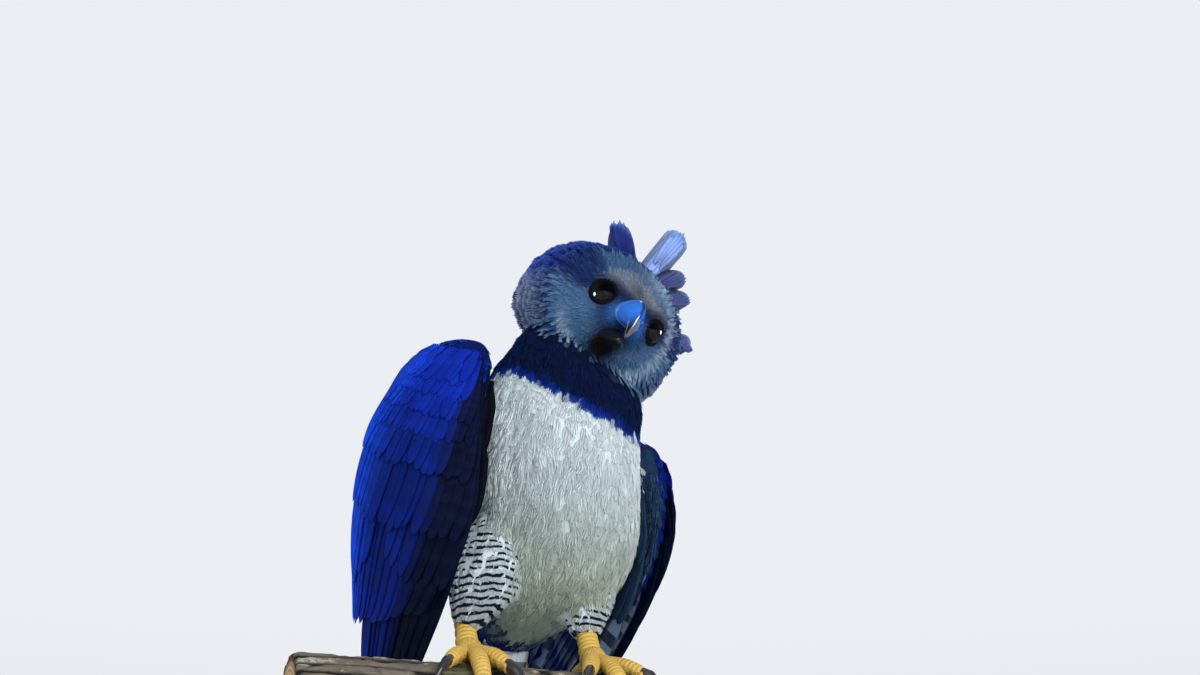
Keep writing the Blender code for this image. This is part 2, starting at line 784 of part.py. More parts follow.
def make_tail(body, torso):
    points, faces = plate(TAIL, TAIL_ROOT, sides=7)
    tail = add_object("tail", points * MM, faces, "tail", body)
    cut(tail, [grown(torso, CUT_GROWTH)])
    vanes = []
    for side, first in ((-1, TOP_RECTRIX), (1, TOP_RECTRIX - RECTRIX_STEP / 2)):
        for k in range(RECTRICES_A_SIDE):
            heights = (first - RECTRIX_STEP * k,) * 3
            root = (0.5 + side * (0.06 + 0.05 * k), 0.13)
            tip = (0.5 + side * (0.05 + 0.082 * k), 1.0 - 0.006 * k)
            size = (RECTRIX_WIDTH, heights, 0, RECTRIX_THICKNESS)
            vanes.append(sheet_vane(TAIL, root, tip, *size, FLIGHT_SHAPE))
    for k in range(TAIL_COVERTS):
        across = (k - (TAIL_COVERTS - 1) / 2) * 0.16
        root, tip = (0.5 + across, 0.05), (0.5 + across * 1.25, 0.33)
        size = (TAIL_COVERT_WIDTH, TAIL_COVERT_HEIGHTS, WING_TILT, RECTRIX_THICKNESS)
        vanes.append(sheet_vane(TAIL, root, tip, *size, COVERT_SHAPE))
    fuse(tail, [helper(*vane, body) for vane in vanes])


FOOT_X = {"left": 0.058, "right": -0.078}
TOE_RADIUS = 9.5
# Each toe: splay from straight ahead in degrees, length, claw length, share of the toe radius
TOES = {
    "inner": (24, 66, 60, 1.0),
    "middle": (-3, 88, 50, 1.0),
    "outer": (-33, 68, 42, 0.92),
    "hind": (172, 52, 68, 1.05),
}
TOE_SHARES = np.array((1.0, 1.0, 0.94, 1.0, 0.92, 0.72))  # radius along a toe
CLAW_SHARES = np.array((0.62, 0.60, 0.52, 0.42, 0.30, 0.18, 0.08))
CLAW_DEPTH = 1.25  # how much deeper a claw is than wide
CLAW_SUNK = 6  # mm that a claw starts inside its toe
SOLE_RADIUS = 14
HIP = (60, -34, 14)
THIGH_RADII = (44, 46, 43, 37, 29, 20)
ANKLE = (24, 44)  # the trousers' end: behind the perch's middle, and above its top
TARSUS_RADII = (13, 12, 11.5, 12, 13)
TARSUS_FOOT = (6, 13)
TARSUS_HOCK = (46, 84)


def on_perch(x, ahead, height):
    """A point over the perch, ahead mm round it from its top towards -Y, at a height above its skin."""
    radius = PERCH_RADIUS / MM + height
    angle = ahead / (PERCH_RADIUS / MM)
    centre_z = (PERCH_TOP - PERCH_RADIUS) / MM
    return np.array((x, -radius * math.sin(angle), centre_z + radius * math.cos(angle)))


def toe_path(foot_x, side, splay, start, length, heights, steps):
    turn = math.radians(splay)
    path = []
    for k in range(steps):
        share = k / (steps - 1)
        reach = start + length * share
        height = np.interp(share, np.linspace(0, 1, len(heights)), heights)
        path.append(on_perch(foot_x - side * math.sin(turn) * reach, math.cos(turn) * reach, height))
    return path


def path_up(path):
    """The outward direction from the perch's middle line over a path's middle."""
    middle = np.asarray(path[len(path) // 2], float)
    centre = np.array((middle[0], 0.0, (PERCH_TOP - PERCH_RADIUS) / MM))
    return (middle - centre) / np.linalg.norm(middle - centre)


def limb(name, start, end, radii, sides, finish):
    spots = [start + (end - start) * t for t in np.linspace(0, 1, len(radii))]
    points, faces = loft(tube_rings(spots, radii, sides, up=(0, 1, 0)))
    return add_object(name, points * MM, faces, finish)


def make_toe(which, side, foot_x, name):
    """A toe and its claw, which stay loose until the foot is joined."""
    splay, length, claw_length, share = TOES[name]
    radius = TOE_RADIUS * share
    lie = radius + GAP
    path = toe_path(foot_x, side, splay, 0, length, (lie + 2, lie, lie, lie, lie), len(TOE_SHARES))
    points, faces = loft(tube_rings(path, TOE_SHARES * radius, 8, up=path_up(path)))
    toe = helper(points, faces, None)
    heights = (lie, lie + 3, lie + 1, lie - 4, 2.0)
    path = toe_path(foot_x, side, splay, length - CLAW_SUNK, claw_length, heights, len(CLAW_SHARES))
    points, faces = loft(tube_rings(path, CLAW_SHARES * radius, 6, CLAW_DEPTH, up=path_up(path)))
    return toe, add_object(f"claw_{name}_{which}", points * MM, faces, "claw")


def make_leg(which, side, body, torso):
    foot_x = FOOT_X[which] / MM
    top = PERCH_TOP / MM
    hip = np.array(body.matrix_world @ (Vector((side * HIP[0], HIP[1], HIP[2])) * MM)) / MM
    ankle = np.array((foot_x, ANKLE[0], top + ANKLE[1]))
    thigh = limb("thigh_" + which, hip, ankle, THIGH_RADII, 14, "thigh")
    cut(thigh, [grown(torso, CUT_GROWTH)])
    sole = np.array((foot_x, TARSUS_FOOT[0], top + TARSUS_FOOT[1]))
    hock = np.array((foot_x, TARSUS_HOCK[0], top + TARSUS_HOCK[1]))
    tarsus = limb("tarsus_" + which, sole, hock, TARSUS_RADII, 12, "leg_skin")
    cut(tarsus, [grown(thigh, CUT_GROWTH)])
    points, faces = ball(on_perch(foot_x, 0, SOLE_RADIUS + 0.5), SOLE_RADIUS, 12, 8, (0, 0, 1))
    foot = add_object("foot_" + which, points * MM, faces, "leg_skin")
    toes, claws = zip(*(make_toe(which, side, foot_x, name) for name in TOES))
    fuse(foot, toes)
    cut(tarsus, [grown(foot, CUT_GROWTH)])
    for claw in claws:
        cut(claw, [grown(foot, CUT_GROWTH)])


def round_rings(places, radius, sides, along):
    """Rings of one radius about X or Z, one at each place along it."""
    turn = np.linspace(0, 2 * math.pi, sides, endpoint=False)
    across, up = radius * np.sin(turn), radius * np.cos(turn)
    if along == "X":
        return [np.stack([np.full(sides, place), across, up], 1) for place in places]
    return [np.stack([across, up, np.full(sides, place)], 1) for place in places]


def make_stand():
    width, depth, height = BASE_SIZE
    mesh = bpy.data.meshes.new("stand_base")
    box = bmesh.new()
    bmesh.ops.create_cube(box, size=1.0, matrix=Matrix.Diagonal((width, depth, height, 1)))
    bmesh.ops.bevel(box, geom=list(box.edges), offset=BASE_BEVEL, segments=2, affect="EDGES")
    box.to_mesh(mesh)
    box.free()
    base = bpy.data.objects.new("stand_base", mesh)
    bpy.context.scene.collection.objects.link(base)
    base.location = (0, BASE_CENTRE_Y, height / 2)
    mesh.materials.append(material("base_paint"))

    places = np.linspace(-PERCH_LENGTH / 2, PERCH_LENGTH / 2, 5)
    perch = add_object("perch", *loft(round_rings(places, PERCH_RADIUS, PERCH_SIDES, "X")), "bark")
    perch.location = (0, 0, PERCH_TOP - PERCH_RADIUS)
    places = np.linspace(height + GAP * MM, PERCH_TOP - PERCH_RADIUS, 3)
    for name, x in (("stand_rod_left", ROD_X), ("stand_rod_right", -ROD_X)):
        rod = add_object(name, *loft(round_rings(places, ROD_RADIUS, 16, "Z")), "rod_steel")
        rod.location = (x, 0, 0)
        cut(rod, [grown(perch, CUT_GROWTH)])


def main():
    clear_scene()
    body = frame_empty(
        "body_frame",
        Matrix.Translation(PELVIS)
        @ turned("Z", TRUNK_YAW)
        @ turned("X", TRUNK_LEAN_FORWARD)
        @ turned("Y", TRUNK_LEAN_LEFT),
    )
    head_frame = frame_empty(
        "head_frame",
        Matrix.Translation(HEAD_CENTRE)
        @ turned("Z", -LOOK_TO_RIGHT)
        @ turned("X", LOOK_DOWN)
        @ turned("Y", HEAD_TILT)
        @ turned("X", -BILL_LIFT)
        @ turned("Z", BILL_TURN),
    )
    bpy.context.view_layer.update()
    make_stand()
    torso = make_torso(body)
    head = make_head_core(head_frame)
    eyes = make_eyes(head_frame)
    upper, lower = make_bill(head_frame)
    cut(upper, [grown(eye, CUT_GROWTH) for eye in eyes])
    neck = make_neck(body)
    cut(neck, [grown(head, CUT_GROWTH)])
    fuse(head, [helper(*piece, head_frame) for piece in ruff_vanes() + crest_vanes() + face_forms()])
    cut(head, [grown(o, CUT_GROWTH) for o in (neck, torso, upper, lower, *eyes)])
    make_tail(body, torso)
    make_wing("wing_left", WING_LEFT, body, torso)
    make_wing("wing_right", WING_RIGHT, body, torso)
    for which, side in (("left", 1), ("right", -1)):
        make_leg(which, side, body, torso)


main()
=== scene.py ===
"""Looks for a life-size harpy eagle that grips a cut length of limb on a plain display stand.

Sizes are in millimetres in each part's own frame, which faces -Y with the bird's left at +X, as in the
solids. A Pose turns them into the row frame, still in millimetres, and a mesh is written in metres.
"""

import logging
import math
from collections.abc import Callable, Sequence
from dataclasses import dataclass, field, replace
from enum import IntEnum
from functools import cache

import bpy
import numpy as np
from mathutils import Matrix, Vector, noise
from mathutils.bvhtree import BVHTree
from mathutils.kdtree import KDTree


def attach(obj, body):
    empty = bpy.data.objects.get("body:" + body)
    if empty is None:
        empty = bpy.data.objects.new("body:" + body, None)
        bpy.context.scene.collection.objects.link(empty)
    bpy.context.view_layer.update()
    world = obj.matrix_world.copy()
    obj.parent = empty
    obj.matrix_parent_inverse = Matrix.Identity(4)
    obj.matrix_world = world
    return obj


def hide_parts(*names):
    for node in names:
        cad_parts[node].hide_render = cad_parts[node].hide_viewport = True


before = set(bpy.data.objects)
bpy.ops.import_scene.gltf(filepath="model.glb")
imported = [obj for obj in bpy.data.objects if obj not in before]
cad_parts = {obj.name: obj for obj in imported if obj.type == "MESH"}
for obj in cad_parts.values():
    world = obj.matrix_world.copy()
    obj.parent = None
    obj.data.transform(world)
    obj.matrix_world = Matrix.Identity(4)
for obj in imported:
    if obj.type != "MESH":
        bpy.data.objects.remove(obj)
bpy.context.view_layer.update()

MM = 0.001
SEED = 11
PATCH = 0.003  # how wide a tuft is on the bake map
PIECE_TRIANGLES = 185_000  # the most that one coat piece takes
BARE = 99.0  # the spacing where no feather grows
FOOT_X = {"left": 58.0, "right": -78.0}  # where the feet stand along the limb

Array = np.ndarray
Chance = np.random.Generator
Socket = bpy.types.NodeSocket
Material = bpy.types.Material
log = logging.getLogger("eagle")


def srgb(red: float, green: float, blue: float) -> tuple[float, float, float]:
    """The linear colour of an sRGB one given in steps of 255."""
    parts = np.array((red, green, blue)) / 255
    linear = np.where(parts <= 0.04045, parts / 12.92, ((parts + 0.055) / 1.055) ** 2.4)
    return tuple(float(x) for x in linear)


def unit(vectors: Array) -> Array:
    """The same vectors at length 1."""
    return vectors / np.maximum(np.linalg.norm(vectors, axis=-1, keepdims=True), 1e-9)


def ramp(low: float, high: float, value: Array) -> Array:
    """A smooth step from 0 at low to 1 at high."""
    t = np.clip((value - low) / (high - low), 0, 1)
    return t * t * (3 - 2 * t)


def blend(first: Array, second: Array, share: Array | float) -> Array:
    """Mixes two colours or rows of colours, by one share or a share for each row."""
    return first + (np.asarray(second) - first) * np.asarray(share)[..., None]


def evenly(count: int) -> Array:
    """Places from 0 to 1, evenly spaced."""
    return np.linspace(0, 1, count)


def turns(count: int) -> Array:
    """Angles once round a circle, evenly spaced."""
    return np.linspace(0, 2 * math.pi, count, endpoint=False)


def mirrored(spot: Sequence[float], side: int) -> Array:
    """A place given for the bird's left, on the side that is +1 for left and -1 for right."""
    return np.array((side * spot[0], *spot[1:]))


def through(keys: Sequence, amounts: Array | float) -> Array:
    """A smooth curve through evenly spaced keys, straight past its ends.

    Args:
        keys: The points or values that the curve meets.
        amounts: Places along it, from 0 to 1.

    Returns:
        One row for each amount.
    """
    keys = np.asarray(keys, float)
    ends = np.vstack([2 * keys[0] - keys[1], keys, 2 * keys[-1] - keys[-2]])
    amounts = np.atleast_1d(np.asarray(amounts, float))
    inside = np.clip(amounts, 0, 1)
    place = inside * (len(keys) - 1)
    first = np.minimum(place.astype(int), len(keys) - 2)
    t = (place - first)[:, None]
    a, b, c, d = (ends[first + k] for k in range(4))
    curve = 0.5 * (2 * b + (c - a) * t + (2 * a - 5 * b + 4 * c - d) * t**2 + (3 * b - a - 3 * c + d) * t**3)
    slope = np.where((amounts < 0)[:, None], keys[1] - keys[0], keys[-1] - keys[-2]) * (len(keys) - 1)
    return curve + (amounts - inside)[:, None] * slope


def profile(keys: Sequence[float], count: int) -> Array:
    """A smooth run of numbers through evenly spaced ones."""
    return through(np.array(keys)[:, None], evenly(count))[:, 0]


def soft_noise(points: Array, size: float, seed: float = 0.0) -> Array:
    """Smooth noise from about -1 to 1, with lumps about size mm across."""
    return np.array([noise.noise(Vector(p) / size + Vector((seed, 0, 0))) for p in points])


def tree_of(points: Array) -> KDTree:
    """A tree that finds the nearest of many points."""
    tree = KDTree(len(points))
    for k, p in enumerate(points):
        tree.insert(p, k)
    tree.balance()
    return tree


def read(items: bpy.types.bpy_prop_collection, key: str, each: int, kind: type = float) -> Array:
    """One property of every item of a mesh, as one run of numbers with so many for each item."""
    values = np.empty(len(items) * each, kind)
    items.foreach_get(key, values)
    return values


def linked(name: str, data: bpy.types.ID) -> bpy.types.Object:
    """A new object in the scene."""
    obj = bpy.data.objects.new(name, data)
    bpy.context.scene.collection.objects.link(obj)
    return obj


@dataclass(frozen=True)
class Pose:
    """Where a part stands: its own frame in millimetres, placed in the row frame."""

    place: tuple[float, float, float]
    turns: tuple[tuple[str, float], ...]

    def matrix(self) -> Array:
        """The 4x4 matrix, in millimetres."""
        made = Matrix.Translation(self.place)
        for axis, degrees in self.turns:
            made = made @ Matrix.Rotation(math.radians(degrees), 4, axis)
        return np.array(made)

    def out(self, points: Array) -> Array:
        """Points of the part's frame in the row frame."""
        m = self.matrix()
        return np.asarray(points, float) @ m[:3, :3].T + m[:3, 3]

    def turn(self, vectors: Array) -> Array:
        """Directions of the part's frame in the row frame."""
        return np.asarray(vectors, float) @ self.matrix()[:3, :3].T

    def back(self, points: Array) -> Array:
        """Points of the row frame in the part's own frame."""
        m = self.matrix()
        return (np.asarray(points, float) - m[:3, 3]) @ m[:3, :3]


BODY = Pose((-10, 61, 420), (("Z", 15), ("X", 28), ("Y", -2)))
HEAD = Pose((40, -103, 675), (("Z", -20), ("X", 25), ("Y", 33), ("X", -20), ("Z", 17)))


@dataclass
class Shape:
    """Points in row millimetres with faces, what the finish reads at each point, and bake places."""

    points: Array
    faces: list[Array]
    values: dict[str, Array] = field(default_factory=dict)
    places: list[Array] | None = None

    def triangles(self) -> int:
        """How many triangles the faces make."""
        return sum(len(f) * (f.shape[1] - 2) for f in self.faces if len(f))

    def to_object(self, name: str, material: Material) -> bpy.types.Object:
        """Writes the mesh.

        Args:
            name: The piece's name.
            material: What it wears.

        Returns:
            The new object, linked to the scene.
        """
        faces = [f for f in self.faces if len(f)]
        sizes = np.concatenate([np.full(len(f), f.shape[1]) for f in faces])
        loops = np.concatenate([f.ravel() for f in faces]).astype(np.int32)
        mesh = bpy.data.meshes.new(name)
        mesh.vertices.add(len(self.points))
        mesh.vertices.foreach_set("co", (self.points * MM).astype(np.float32).ravel())
        mesh.loops.add(len(loops))
        mesh.loops.foreach_set("vertex_index", loops)
        mesh.polygons.add(len(sizes))
        starts = np.concatenate([[0], np.cumsum(sizes)[:-1]]).astype(np.int32)
        mesh.polygons.foreach_set("loop_start", starts)
        mesh.update(calc_edges=True)
        mesh.shade_smooth()
        for key, value in self.values.items():
            kind = "FLOAT" if value.ndim == 1 else "FLOAT_VECTOR"
            layer = mesh.attributes.new(key, kind, "POINT")
            slot = "value" if value.ndim == 1 else "vector"
            layer.data.foreach_set(slot, value.astype(np.float32).ravel())
        if self.places is not None:
            layer = mesh.uv_layers.new(name="OFBake")
            corners = np.concatenate([p.reshape(-1, 2) for p in self.places if len(p)])
            layer.uv.foreach_set("vector", corners.astype(np.float32).ravel())
        mesh.materials.append(material)
        return linked(name, mesh)


def joined(shapes: Sequence[Shape]) -> Shape:
    """One shape from several that hold the same values."""
    starts = np.cumsum([0] + [len(s.points) for s in shapes])
    faces = [f + start for s, start in zip(shapes, starts) for f in s.faces]
    values = {k: np.concatenate([s.values[k] for s in shapes]) for k in shapes[0].values}
    places = None
    if shapes[0].places is not None:
        places = [p for s in shapes for p in s.places]
    return Shape(np.concatenate([s.points for s in shapes]), faces, values, places)


def dressed(shape: Shape, name: str, finish: "Finish", nodes: Sequence[str] = ()) -> None:
    """Makes a piece that rides on the root body.

    Args:
        shape: Its points and faces.
        name: The piece's name.
        finish: Its finish.
        nodes: The solids that it stands for.
    """
    obj = shape.to_object(name, finish.material())
    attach(obj, "root")
    if nodes:
        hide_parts(*nodes)
    log.info("%s: %d triangles", name, shape.triangles())


def grid_shape(rings: Array, ends: tuple[Array | None, Array | None] = (None, None)) -> Shape:
    """A closed skin over rings.

    Args:
        rings: Points as (ring, side, xyz).
        ends: A point that closes each end, or none for the middle of the end ring.

    Returns:
        The shape, with "along" and "around" as its values.
    """
    count, sides = rings.shape[:2]
    a = np.arange(sides)
    b = (a + 1) % sides
    base = np.arange(count - 1)[:, None] * sides
    quads = np.stack([base + a, base + b, base + b + sides, base + a + sides], -1).reshape(-1, 4)
    tips = [
        ring.mean(axis=0) if tip is None else np.asarray(tip, float) for ring,
        tip in zip(rings[[0, -1]], ends)
    ]
    last = count * sides
    start = np.stack([b, a, np.full(sides, last)], 1)
    end = np.stack([a, b, np.full(sides, last + 1 - (count - 1) * sides)], 1) + (count - 1) * sides
    along = np.concatenate([np.repeat(evenly(count), sides), (0, 1)])
    around = np.concatenate([np.tile(a / sides, count), (0, 0)])
    points = np.vstack([rings.reshape(-1, 3), tips])
    return Shape(points, [quads, start, end], {"along": along, "around": around})


def tube(centres: Array, radii: Array, sides: int, up: Sequence = (0, 0, 1), flatten: float = 1.0) -> Array:
    """Rings square to a path.

    Args:
        centres: The path.
        radii: A radius for each of its points, or one for each point and side.
        sides: Points on a ring.
        up: The direction that flatten works along.
        flatten: Depth as a share of width.

    Returns:
        Rings as (ring, side, xyz).
    """
    centres = np.asarray(centres, float)
    along = unit(np.gradient(centres, axis=0))
    side = unit(np.cross(along, up))
    lift = np.cross(side, along)
    turn = turns(sides)
    radii = np.asarray(radii, float)
    radii = radii[:, None] if radii.ndim == 1 else radii
    across = (radii * np.cos(turn))[..., None] * side[:, None]
    return centres[:, None] + across + (flatten * radii * np.sin(turn))[..., None] * lift[:, None]


class Sheet:
    """A curved surface between a leading and a trailing edge, on which feathers are laid.

    s runs from the leading edge to the trailing edge, and l from the wrist or root to the tips.
    """

    def __init__(
        self, pose: Pose, leading: Sequence, trailing: Sequence, bulge: Sequence, outward: Sequence
    ) -> None:
        """Keeps the edges' keys, the swell of the middle, and the side that faces out."""
        self.pose = pose
        self.leading = leading
        self.trailing = trailing
        self.bulge = np.asarray(bulge, float)[:, None]
        self.outward = unit(pose.turn(outward))

    def point(self, s: Array, l: Array) -> Array:
        """Places on the sheet in row millimetres, for arrays of any one shape."""
        s, l = np.broadcast_arrays(np.asarray(s, float), np.asarray(l, float))
        flat_s, flat_l = s.ravel(), l.ravel()
        front, back = through(self.leading, flat_l), through(self.trailing, flat_l)
        swell = through(self.bulge, flat_l) * np.sin(math.pi * np.clip(flat_s, 0, 1))[:, None]
        own = front + (back - front) * flat_s[:, None]
        return (self.pose.out(own) + swell * self.outward).reshape(*s.shape, 3)

    def slopes(self, s: Array, l: Array, step: float = 0.01) -> tuple[Array, Array]:
        """How the place moves with s and with l."""
        by_s = (self.point(s + step, l) - self.point(s - step, l)) / (2 * step)
        by_l = (self.point(s, l + step) - self.point(s, l - step)) / (2 * step)
        return by_s, by_l

    def across(self, own: Array) -> Array:
        """About how far across the sheet places of its own frame are, by their height in that frame."""
        edges = [np.array(sorted(edge, key=lambda p: p[2]), float) for edge in (self.leading, self.trailing)]
        front, back = (np.interp(own[:, 2], edge[:, 2], edge[:, 1]) for edge in edges)
        return np.clip((own[:, 1] - front) / (back - front), 0, 1)

    def normal(self, s: Array, l: Array) -> Array:
        """The direction that the sheet's outer side faces."""
        s, l = np.clip(s, 0.01, 0.99), np.clip(l, 0.01, 0.99)
        facing = unit(np.cross(*self.slopes(s, l)))
        return facing * np.sign(np.sum(facing * self.outward, -1))[..., None]


WINGS = {
    "right": Sheet(
        BODY,
        (
            (-109, -20, 240), (-120, -50, 170), (-124, -86, 86), (-126, -72, -10), (-120, -14, -126),
            (-104, 48, -246)
        ),
        (
            (-147, 36, 236), (-160, 70, 184), (-170, 104, 112), (-162, 122, 22), (-136, 120, -90),
            (-100, 102, -212)
        ),
        (6, 14, 20, 19, 14, 6),
        (-1, 0, 0),
    ),
    "left": Sheet(
        BODY,
        ((114, -50, 162), (130, -72, 80), (134, -56, -8), (126, -26, -96), (112, 18, -180), (90, 58, -262)),
        ((102, -8, 176), (92, 58, 152), (68, 88, 84), (50, 94, -2), (40, 92, -96), (40, 100, -196)),
        (8, 16, 22, 20, 14, 6),
        (0.85, 0.5, 0),
    ),
}
TAIL_SHEET = Sheet(
    BODY,
    ((-12, 40, -60), (-22, 44, -182), (-34, 50, -318), (-38, 56, -452)),
    ((44, 40, -60), (52, 44, -182), (62, 50, -318), (64, 56, -452)),
    (4, 5, 5, 5),
    (0, 1, 0),
)


class Part(IntEnum):
    """The parts of the body that the skin covers."""

    TRUNK = 0
    HEAD = 1
    THIGH_LEFT = 2
    THIGH_RIGHT = 3
    WING_LEFT = 4
    WING_RIGHT = 5
    TAIL = 6


@dataclass
class Guide:
    """A part's closed form, and the lines along which its feathers lie."""

    part: Part
    form: Shape
    line: Array
    lie: Array


@dataclass
class Anatomy:
    """The flesh under the feathers, from the solids' own sections drawn in by the depth of the coat."""

    # Trunk and collar: height, half width, front, back, shift forward, shift left, tilt that lowers the left
    trunk: tuple = (
        (-85, 24, 17, 15, -24, 16, 0),
        (-62, 48, 36, 28, -19, 20, 0),
        (-32, 74, 64, 42, -10, 25, 0),
        (0, 92, 84, 54, -4, 27, 0),
        (40, 102, 97, 62, 0, 25, 0),
        (85, 107, 105, 68, 0, 18, 1),
        (130, 107, 107, 70, 0, 8, 3),
        (170, 102, 103, 69, 0, 2, 6),
        (200, 97, 95, 66, 3, 1, 10),
        (224, 91, 85, 64, 8, 4, 13),
        (243, 87, 73, 61, 8, 6, 16),
        (261, 77, 58, 57, 6, 10, 19),
        (278, 62, 43, 50, 2, 14, 22),
        (291, 40, 28, 36, -2, 15, 23),
    )
    # Head: distance in front of its centre, half width, up, down
    head: tuple = (
        (-80, 28, 26, 24),
        (-62, 56, 50, 46),
        (-38, 78, 66, 61),
        (-14, 90, 76, 68),
        (4, 92, 78, 71),
        (12, 84, 72, 66),
        (17, 70, 60, 58),
        (24, 56, 47, 49),
        (34, 44, 35, 39),
        (44, 33, 25, 28),
        (51, 20, 16, 19),
    )
    brow: tuple = ((19, -48, 20), (30, -46, 23), (42, -38, 22), (52, -27, 15))
    brow_radii: tuple = (2.6, 4.6, 4.6, 2.6)
    wing_arm: tuple = (
        (-0.040, 0.30, 0.66, -3, -15),
        (-0.022, 0.12, 0.88, 6, -21),
        (0.025, 0.0, 1.0, 13, -24),
        (0.080, 0.0, 1.0, 15, -24),
        (0.140, 0.0, 1.0, 13, -24),
        (0.230, 0.0, 1.0, 8, -23),
        (0.330, 0.0, 1.0, 3, -20),
        (0.400, 0.02, 0.98, -2, -17),
        (0.460, 0.05, 0.92, -7, -14),
    )
    tail_root: tuple = (
        (0.0, 0.10, 0.90, 6, -18),
        (0.06, 0.0, 1.0, 8, -20),
        (0.16, 0.0, 1.0, 5, -18),
        (0.24, 0.10, 0.90, 0, -14),
    )
    # Each upper arm: the wing's sheet (s, l), a point in the trunk, and radii
    shoulders: dict = field(
        default_factory=lambda: {
            "right": ((0.50, 0.23), (-60, 22, 140), (17, 24, 32)),
            "left": ((0.55, 0.22), (60, 20, 100), (16, 22, 28)),
        }
    )
    thigh_radii: tuple = (8, 30, 42, 44, 46, 44, 41, 37, 31, 26, 20)
    thigh_top: tuple = (56, -22, 84)
    hip: tuple = (60, -34, 14)
    ankle: tuple = (24, 354)
    trunk_coat: float = 4.8
    head_coat: float = 4.0
    thigh_coat: float = 7.0
    wing_coat: float = 4.0

    def trunk_form(self) -> Guide:
        """The trunk and neck, whose feathers lie down the back of the head and the spine."""
        height, half, front, back, forward, left, tilt = through(self.trunk, evenly(60)).T
        turn = turns(48)
        half, front, back = (np.maximum(x - self.trunk_coat, 6)[:, None] for x in (half, front, back))
        x = half * np.cos(turn)
        y = np.where(np.sin(turn) < 0, front, back) * np.sin(turn) - forward[:, None]
        drop = np.radians(tilt)[:, None]
        own = np.stack([left[:, None] + x * np.cos(drop), y, height[:, None] - x * np.sin(drop)], -1)
        form = grid_shape(BODY.out(own), (BODY.out((0, 26, -88)), None))
        spine = [BODY.out(spot) for spot in ((8, 4, 262), (6, 0, 150), (10, 4, 40), (6, 26, -95))]
        line = through((HEAD.out((0, 58, -14)), *spine), evenly(60))
        return Guide(Part.TRUNK, form, line, unit(np.gradient(line, axis=0)))

    def head_form(self) -> Guide:
        """The head, whose feathers lie back from the bill."""
        front, half, up, down = through(self.head, evenly(46)).T
        depth = self.head_coat * (0.45 + 0.55 * ramp(40, 5, front))
        turn = turns(48)
        half, up, down = (np.maximum(x - depth, 8)[:, None] for x in (half, up, down))
        height = np.where(np.sin(turn) > 0, up, down) * np.sin(turn)
        own = np.stack([half * np.cos(turn), np.broadcast_to(-front[:, None], height.shape), height], -1)
        form = grid_shape(HEAD.out(own), (HEAD.out((0, 80, 0)), HEAD.out((0, -53, -2))))
        share = evenly(12)
        brows = [form]
        for side in (-1, 1):
            spots = HEAD.out(through(np.array(self.brow) * (side, 1, 1), share))
            radii = np.interp(share, evenly(4), self.brow_radii)
            brows.append(grid_shape(tube(spots, radii, 14)))
        form = joined(brows)
        line = HEAD.out(through(((0, -70, -6), (0, -10, -4), (0, 55, -12)), evenly(30)))
        return Guide(Part.HEAD, form, line, unit(np.gradient(line, axis=0)))

    def thigh_form(self, side: str) -> Guide:
        """One thigh, down to the ankle."""
        sign = 1 if side == "left" else -1
        top, hip = (BODY.out(mirrored(spot, sign)) for spot in (self.thigh_top, self.hip))
        ankle = np.array((FOOT_X[side], *self.ankle))
        share = evenly(34)
        line = through((top, hip, (hip + ankle) / 2, ankle), share)
        radii = np.interp(share, evenly(11), self.thigh_radii) - self.thigh_coat * ramp(0, 0.2, share)
        part = Part.THIGH_LEFT if sign > 0 else Part.THIGH_RIGHT
        form = grid_shape(tube(line, radii, 30, up=(0, 1, 0)))
        return Guide(part, form, line, unit(np.gradient(line, axis=0)))

    def plate(self, sheet: Sheet, rings: tuple, coat: float) -> Shape:
        """A closed plate along a sheet, drawn in by the coat on both faces."""
        made = []
        for l, start, end, outer, inner in through(rings, evenly(30)):
            s = np.linspace(start + 0.02, end - 0.02, 20)
            full = np.sqrt(np.clip(1 - np.linspace(-1, 1, 20) ** 6, 0.12, 1))
            middle, half = (outer + inner) / 2, max((outer - inner) / 2 - coat, 2.5)
            where, facing = sheet.point(s, l), sheet.normal(s, np.full(20, l))
            upper = where + facing * (middle + half * full)[:, None]
            lower = where + facing * (middle - half * full)[:, None]
            made.append(np.vstack([upper, lower[::-1]]))
        return grid_shape(np.array(made))

    def wing_form(self, side: str) -> Guide:
        """One wing's arm and upper arm."""
        sheet = WINGS[side]
        (s, l), shoulder, radii = self.shoulders[side]
        start = sheet.point(s, l) - sheet.normal(s, l) * 14
        path = start + np.outer(evenly(12), BODY.out(shoulder) - start)
        spread = np.interp(evenly(12), evenly(3), radii) - 3
        arm = grid_shape(tube(path, spread, 24, flatten=2.1))
        form = joined([self.plate(sheet, self.wing_arm, self.wing_coat), arm])
        across, down = np.meshgrid(evenly(7), np.linspace(-0.02, 0.5, 10))
        line = sheet.point(across, down).reshape(-1, 3)
        by_s, by_l = sheet.slopes(across, down)
        part = Part.WING_LEFT if side == "left" else Part.WING_RIGHT
        return Guide(part, form, line, unit((by_l + 0.25 * by_s).reshape(-1, 3)))

    def tail_form(self) -> Guide:
        """The root of the tail."""
        down = np.linspace(0, 0.3, 10)
        line = TAIL_SHEET.point(0.5, down)
        return Guide(
            Part.TAIL, self.plate(TAIL_SHEET, self.tail_root, 4.0), line, unit(np.gradient(line, axis=0))
        )

    def guides(self) -> list[Guide]:
        """Every part of the flesh."""
        thighs = [self.thigh_form(side) for side in ("left", "right")]
        wings = [self.wing_form(side) for side in ("left", "right")]
        return [self.trunk_form(), self.head_form(), *thighs, *wings, self.tail_form()]


